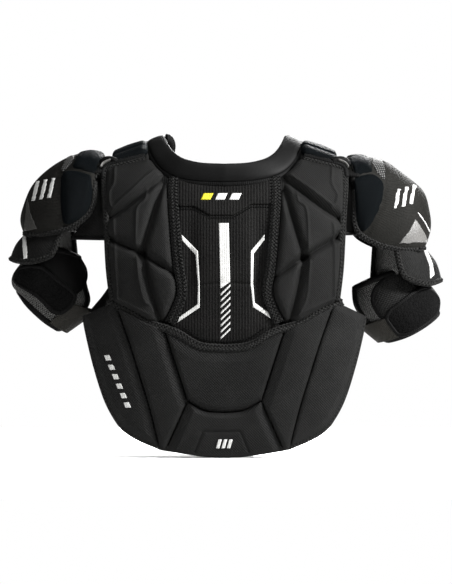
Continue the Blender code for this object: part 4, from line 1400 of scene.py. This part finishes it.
def build_cap(side):
    body = "cap_" + side
    shell = Shell(side, CAP_RIDGE[side], CAP_RIM[side], CAP_DEPTH, 0.0)
    seam = located(shell, curve(CAP_SEAM[side]))

    def height(places, away):
        gap = distance(np.abs(shell.cloth(places)), seam)
        return 0.0015 * levelled(away, 0.02) - 0.0024 * bell(gap, CREASE_WIDTH)

    def layer(name, material, outline, top, bottom=-0.001, end="_" + side, **more):
        slab(name + end, body, material, on_cloth(shell), outline, top, bottom, **more)

    shell_piece("cap_shell_" + side, body, "printed_cloth", shell, (0.0, 1.0, -90, 90), height, -0.008,
                (84, 110), roll=0.003, stands_for=["cap_cover_" + side])
    shell_piece("cap_lining_" + side, body, "grey_mesh", shell, (0.08, 0.9, -76, 76), -0.0125, -0.0172,
                (24, 32), roll=0.0015, stands_for=["cap_liner_" + side])
    pad = smooth_patch(located(shell, CAP_SIDE_PAD[side]))
    for name, turn in (("cap_side_pad_rear", 1), ("cap_side_pad_fore", -1)):
        layer(name, "blue_black_cloth", ring(pad * (turn, 1)),
              relief(plateau=0.0038, bevel=0.01, crown=0.0035), -0.002, roll=0.0022, fill=0.8)
    layer("cap_top_pad", "blue_black_cloth", wrapped(located(shell, curve(CAP_TOP_PAD[side]))),
          relief(plateau=0.003, bevel=0.008, crown=0.003), -0.002, roll=0.002, fill=0.8)
    layer("cap_dotted_band", "dotted_print", wrapped(located(shell, curve(CAP_BAND[side]))), 0.0022,
          roll=0.0004, rings=(0.0006, 0.0015))
    light = located(shell, looped(CAP_LIGHT[side]))
    # The left cap's light panel is the silver print painted darker: painted shade, as the left cap faces
    # away from the key light.
    light, finish = (wrapped(light), "shaded_silver_print") if side == "left" else (ring(light), "silver_print")
    layer("cap_light_panel", finish, light, 0.0024, roll=0.0006, rings=(0.0008, 0.002))
    for k in range(3):
        bar = located(shell, looped(cap_bar(side, k)))
        layer("cap_bar_%d" % (k + 1), "white_print", ring(bar), 0.0024, roll=0.0003, rings=MARK_RINGS)
    if side == "right":
        line = located(shell, looped(CAP_LINE, 0.003))
        layer("cap_line", "white_print", ring(line), 0.0022, roll=0.0003, rings=(0.0006,))
    sewn_tape("cap_rim_tape_" + side, body, *shell(rim_path(90, 0.06, 0.985, 40, 40)), 0.009, 0.0075,
              (0.001,), sink=0.0055)


def cap_bar(side, k):
    """Corners of a plain slanted bar where the sleeve carries its light print."""
    if side == "left":
        x, low, lean = 0.259 + 0.012 * k, -0.05 - 0.002 * k, 0.006
    else:
        x, low, lean = 0.252 + 0.012 * k, -0.066 + 0.003 * k, -0.006
    return [(x, low), (x + 0.005, low), (x + 0.005 - lean, low + 0.029), (x - lean, low + 0.029)]


def build_flap(side):
    body = "flap_" + side
    shell = Shell(side, FLAP_RIDGE[side], FLAP_RIM[side], FLAP_DEPTH, 0.0, trim=0.55)
    shell_piece("flap_cover_" + side, body, "black_cloth", shell, (0.0, 1.0, -82, 82), crowned(0.0014),
                -0.007, (30, 70), roll=0.0028, stands_for=["bicep_flap_" + side])
    sewn_tape("flap_tape_" + side, body, *shell(rim_path(80, 0.05, 0.97, 14, 60)), 0.0085, 0.008,
              (0.0005,), sink=0.006)
    outline = ring(located(shell, looped(FLAP_STRIPE[side], 0.003)))
    slab("flap_stripe_" + side, body, "white_print", on_cloth(shell), outline, 0.0026, -0.001,
         roll=0.0003, step=0.003, rings=MARK_RINGS)


def crowned(crown):
    """Height of a pad that rises softly from its edges."""
    def height(places, away):
        return crown * levelled(away, 0.012)
    return height


FLAP_STRIPE = {
    "left": [(0.3025, -0.105), (0.2968, -0.105), (0.294, -0.14), (0.2995, -0.1415)],
    "right": [(0.2985, -0.129), (0.3035, -0.13), (0.3105, -0.148), (0.313, -0.165),
              (0.307, -0.171), (0.3062, -0.152)],
}
GUARD_TAB = {
    "left": [(0.3068, -0.1545), (0.29, -0.149), (0.268, -0.15), (0.2318, -0.185), (0.223, -0.195),
             (0.2467, -0.2265), (0.2647, -0.219), (0.3143, -0.177)],
    "right": [(0.2363, -0.225), (0.2812, -0.189), (0.2985, -0.183), (0.32, -0.201), (0.3173, -0.225),
              (0.2993, -0.243), (0.2752, -0.2595), (0.2587, -0.256)],
}
GUARD_PANEL = {
    "left": [(0.29, -0.144), (0.27, -0.135), (0.25, -0.123), (0.22, -0.137), (0.208, -0.1575),
             (0.215, -0.188), (0.23, -0.196), (0.27, -0.162)],
    "right": [(0.221, -0.206), (0.2225, -0.188), (0.237, -0.1715), (0.26, -0.158), (0.305, -0.17),
              (0.3, -0.185), (0.245, -0.23), (0.233, -0.229)],
}


def build_guard(side):
    body = "bicep_" + side
    tab_body = "tab_" + side
    shell = Shell(side, GUARD_OUTER[side], GUARD_INNER[side], GUARD_DEPTH, 0.5, bow=GUARD_BOW[side])
    cloth = on_cloth(shell)
    shell_piece("guard_shell_" + side, body, "grey_mesh", shell, (0.0, 1.0, -145, 145), crowned(0.001),
                -0.007, (44, 90), roll=0.003, stands_for=["bicep_pad_" + side])
    made = shell_piece("guard_lining_" + side, body, "grey_mesh", shell, (0.02, 0.98, -138, 138), -0.0128,
                       -0.0152, (20, 50), roll=0.001, stands_for=["bicep_liner_" + side])
    sheet(made)
    edge = rim_path(143, 0.02, 0.98, 24, 70)
    turn = edge[24:-24, 1]
    line, normal = shell(np.vstack([edge, np.column_stack([np.full(len(turn), 0.02), -turn])]))
    ribbon("guard_binding_" + side, body, "binding", line - normal * 0.0075, normal, 0.01, 0.0095,
           closed=True)
    panel = smooth_patch(located(shell, GUARD_PANEL[side], 180))
    finish = "neoprene" if side == "left" else "wrap_cloth"
    slab("guard_panel_" + side, body, finish, cloth, panel,
         relief(plateau=0.002, bevel=0.005, crown=0.001), -0.001, roll=0.001, fill=0.5)
    patch_edge("guard_panel_edge_" + side, body, cloth, shrink(panel, 0.001), 0.001, 0.0062, 0.003)
    shell_piece("guard_strap_" + side, body, "elastic", shell, (0.68, 0.97, 112, 226), 0.004, 0.0014,
                (20, 40), roll=0.001, stands_for=["bicep_strap_" + side])
    tab = smooth_patch(located(shell, GUARD_TAB[side], 180))
    cloth = lifted(cloth, 0.003)
    slab("wrap_tab_cover_" + side, tab_body, "loop_pile", cloth, tab,
         relief(plateau=0.0012, bevel=0.003, crown=0.0004), -0.001, roll=0.001,
         stands_for=["wrap_tab_" + side])
    patch_edge("wrap_tab_edge_" + side, tab_body, cloth, shrink(tab, 0.002), 0.0012, 0.0058, 0.0038)
    build_tongue(side)


def patch_edge(name, body, surface, outline, sink, width, thickness):
    """A binding round a patch."""
    spots, normal = surface(outline)
    ribbon(name, body, "binding", spots - normal * sink, normal, width, thickness, closed=True)


def build_tongue(side):
    sign = SIGN[side]
    body = "bicep_" + side
    top, foot = {"left": (-0.098, -0.15), "right": (-0.118, -0.182)}[side]
    inner = {"left": (0.229, 0.224), "right": (0.227, 0.223)}[side]
    bow = ((0.036, -0.056), (0.014, -0.042), (0.003, -0.02), (0.0, 0.0), (0.003, 0.02), (0.014, 0.042),
           (0.036, 0.056))
    lines = []
    for share in (0, 0.5, 1):
        reach = inner[0] + (inner[1] - inner[0]) * share
        lines.append([(sign * (reach + dx), y * (1 - 0.3 * share ** 2), top + (foot - top) * share)
                      for dx, y in bow])
    made = loft("tongue_mesh_" + side, body, "grey_mesh", lines, 0.0028, 40, 14, ["bicep_tongue_" + side])
    sheet(made)
    line = curve([(sign * (inner[0] - 0.001), -0.006, top - 0.002),
                  (sign * (inner[1] - 0.001), -0.006, foot)])
    ribbon("tongue_binding_" + side, body, "binding", line + (sign * 0.002, 0, 0),
           repeated((-sign, 0.0, 0.0), line), 0.036, 0.0052)


def build_links(side):
    """Soft fabric that joins the arm to the trunk."""
    sign = SIGN[side]
    low, rise, arm_x = {"left": (-0.1095, 0.0, (0.199, 0.199, 0.208, 0.228)),
                        "right": (-0.102, -0.0045, (0.199, 0.199, 0.202, 0.216))}[side]
    levels = np.linspace(-0.012, low, 4)
    near = on_trunk(np.array([(sign * 0.1765, z) for z in levels]), height=-0.011)[0]
    far = np.array([(sign * x, -0.06, z) for x, z in zip(arm_x, levels)])
    lines = np.array([near, (near + far) / 2 + (0, 0.004, 0), far])
    span = ("back", "cap_" + side, (sign * 0.18, 0, 0), (sign * 0.205, 0, 0))
    made = loft("armpit_gusset_cloth_" + side, span, "black_cloth", lines, 0.003, 26, 16,
                ["armpit_gusset_" + side])
    sheet(made)
    line = curve(lines[:, -1], 0.003)
    ribbon("armpit_binding_" + side, span, "binding", line + (0, 0.003, 0),
           repeated((0.0, -1.0, 0.0), line), 0.0058, 0.006)
    lines = [[(sign * 0.156, y * 0.9, shoulder_height(0.156, y * 0.9) - 0.01),
              (sign * 0.17, y * 0.95, 0.009 + rise / 2 - 5.0 * y ** 2),
              (sign * 0.186, y, 0.0115 + rise - 6.0 * y ** 2),
              (sign * 0.202, y, 0.01 + rise - 6.0 * y ** 2)]
             for y in (-0.064, -0.048, -0.026, 0.0, 0.026, 0.048, 0.064)]
    span = ("back", "cap_" + side, (sign * 0.168, 0, 0), (sign * 0.192, 0, 0))
    loft("shoulder_link_" + side, span, "binding", lines, 0.006, 24, 40)


def build_side_corner():
    """The dark corner of the far side, seen between the back and the wearer's left arm."""
    lines = [[(-0.162, -0.052, -0.178), (-0.171, -0.034, -0.182), (-0.174, -0.016, -0.188)],
             [(-0.164, -0.056, -0.199), (-0.183, -0.04, -0.202), (-0.188, -0.018, -0.204)],
             [(-0.166, -0.062, -0.221), (-0.196, -0.046, -0.221), (-0.203, -0.022, -0.221)]]
    made = loft("side_corner_left", "lower_back", "binding", lines, 0.004, 16, 14)
    sheet(made)


STRAP_LEVEL = -0.296


def path_ribbon(name, body, material, path, width, thickness, sign, stands_for=()):
    """A band standing on edge along a path seen from above."""
    flat = curve(path)
    line = np.column_stack([sign * flat[:, 0], flat[:, 1], np.full(len(flat), STRAP_LEVEL)])
    normal = np.cross(unit(np.gradient(line, axis=0)), (0, 0, 1.0)) * sign
    ribbon(name, body, material, line - normal * thickness / 2, normal, width, thickness,
           stands_for=stands_for)
    return line, normal


def build_side_strap(side):
    body = "side_strap_" + side
    sign = SIGN[side]
    path_ribbon("side_strap_band_" + side, body, "elastic",
                [(0.186, -0.052), (0.191, -0.022), (0.19, 0.012), (0.184, 0.04)], 0.038, 0.0025, sign,
                ["side_strap_" + side])
    path_ribbon("side_strap_anchor_" + side, "lower_back", "black_cloth",
                [(0.18, -0.07), (0.185, -0.062), (0.186, -0.05), (0.1875, -0.04)], 0.044, 0.0035, sign)
    line, normal = path_ribbon("side_tab_cover_" + side, body, "loop_pile",
                               [(0.185, 0.036), (0.1805, 0.058), (0.172, 0.074)], 0.04, 0.0045, sign,
                               ["side_tab_" + side])
    stitches("side_tab_stitches_" + side, body,
             [(line[1:-1], normal[1:-1], shift, 0.0025) for shift in (-0.016, 0.016)])


# ---------------------------------------------------------------- stage, lights and camera

FLOOR_LEVEL = -0.4375
FLOOR_RADIUS = 1.3
FLOOR_CORNERS = 96
AMBIENT = 0.3
FOCUS_LEVEL = -0.1905
VIEW_MIDDLE = 0.00225
VIEW_DEPTH = 6.123


def build_stage():
    mesh = bpy.data.meshes.new("floor")
    turns = np.arange(FLOOR_CORNERS) * 2 * np.pi / FLOOR_CORNERS
    rim = [(FLOOR_RADIUS * np.cos(a), FLOOR_RADIUS * np.sin(a), 0) for a in turns]
    mesh.from_pydata(rim, [], [tuple(range(FLOOR_CORNERS))])
    mesh.materials.append(MATERIALS["studio_floor"])
    floor = bpy.data.objects.new("floor", mesh)
    floor.location.z = FLOOR_LEVEL
    bpy.context.collection.objects.link(floor)
    world = bpy.data.worlds.new("studio")
    bpy.context.scene.world = world
    world.use_nodes = True
    tree = world.node_tree
    seen = tree.nodes["Background"]
    soft = tree.nodes.new("ShaderNodeBackground")
    for node, strength in ((seen, 1.0), (soft, AMBIENT)):
        node.inputs["Color"].default_value = (1.0, 1.0, 1.0, 1.0)
        node.inputs["Strength"].default_value = strength
    rays = tree.nodes.new("ShaderNodeLightPath")
    both = tree.nodes.new("ShaderNodeMixShader")
    ends = (rays.outputs["Is Camera Ray"], soft.outputs[0], seen.outputs[0])
    for socket, end in zip(both.inputs, ends):
        tree.links.new(end, socket)
    tree.links.new(both.outputs[0], tree.nodes["World Output"].inputs["Surface"])


# Each lamp's place, what it points at, its size and its power.
LIGHTS = {
    "key": ((2.8, -1.2, 1.5), (0, -0.1, -0.2), (0.6, 0.6), 1300),
    "top": ((0.3, -0.9, 2.3), (0, -0.05, -0.2), (0.8, 0.6), 190),
    "fill": ((-2.4, -2.0, 0.6), (0, -0.1, -0.2), (1.0, 1.0), 50),
    "front": ((0.8, 2.8, 1.4), (0, 0.1, -0.2), (1.2, 1.2), 260),
}


def build_lights():
    for name, (place, target, size, power) in LIGHTS.items():
        data = bpy.data.lights.new(name, "AREA")
        data.shape = "RECTANGLE"
        data.size, data.size_y = size
        data.energy = power
        lamp = bpy.data.objects.new(name, data)
        lamp.location = place
        lamp.rotation_euler = (Vector(target) - Vector(place)).to_track_quat("-Z", "Y").to_euler()
        bpy.context.collection.objects.link(lamp)


def build_camera():
    data = bpy.data.cameras.new("view")
    data.lens = 250.0
    data.sensor_fit = "VERTICAL"
    data.sensor_height = 36.0
    data.clip_end = 60.0
    camera = bpy.data.objects.new("view", data)
    camera.location = (VIEW_MIDDLE, -VIEW_DEPTH, FOCUS_LEVEL)
    camera.rotation_euler = (np.pi / 2, 0, 0)
    bpy.context.collection.objects.link(camera)
    bpy.context.scene.camera = camera
    bpy.context.scene.view_settings.view_transform = "Standard"


def build_all():
    make_materials()
    build_stage()
    build_lights()
    build_camera()
    build_back()
    build_lower_back()
    build_chest()
    build_belly()
    build_collar()
    build_side_corner()
    for side in SIGN:
        build_shoulder_top(side)
        build_cap(side)
        build_flap(side)
        build_guard(side)
        build_links(side)
        build_side_strap(side)
    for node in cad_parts.values():
        if not node.hide_render:
            node.data.materials.clear()
            node.data.materials.append(MATERIALS["moulded_plastic"])


build_all()
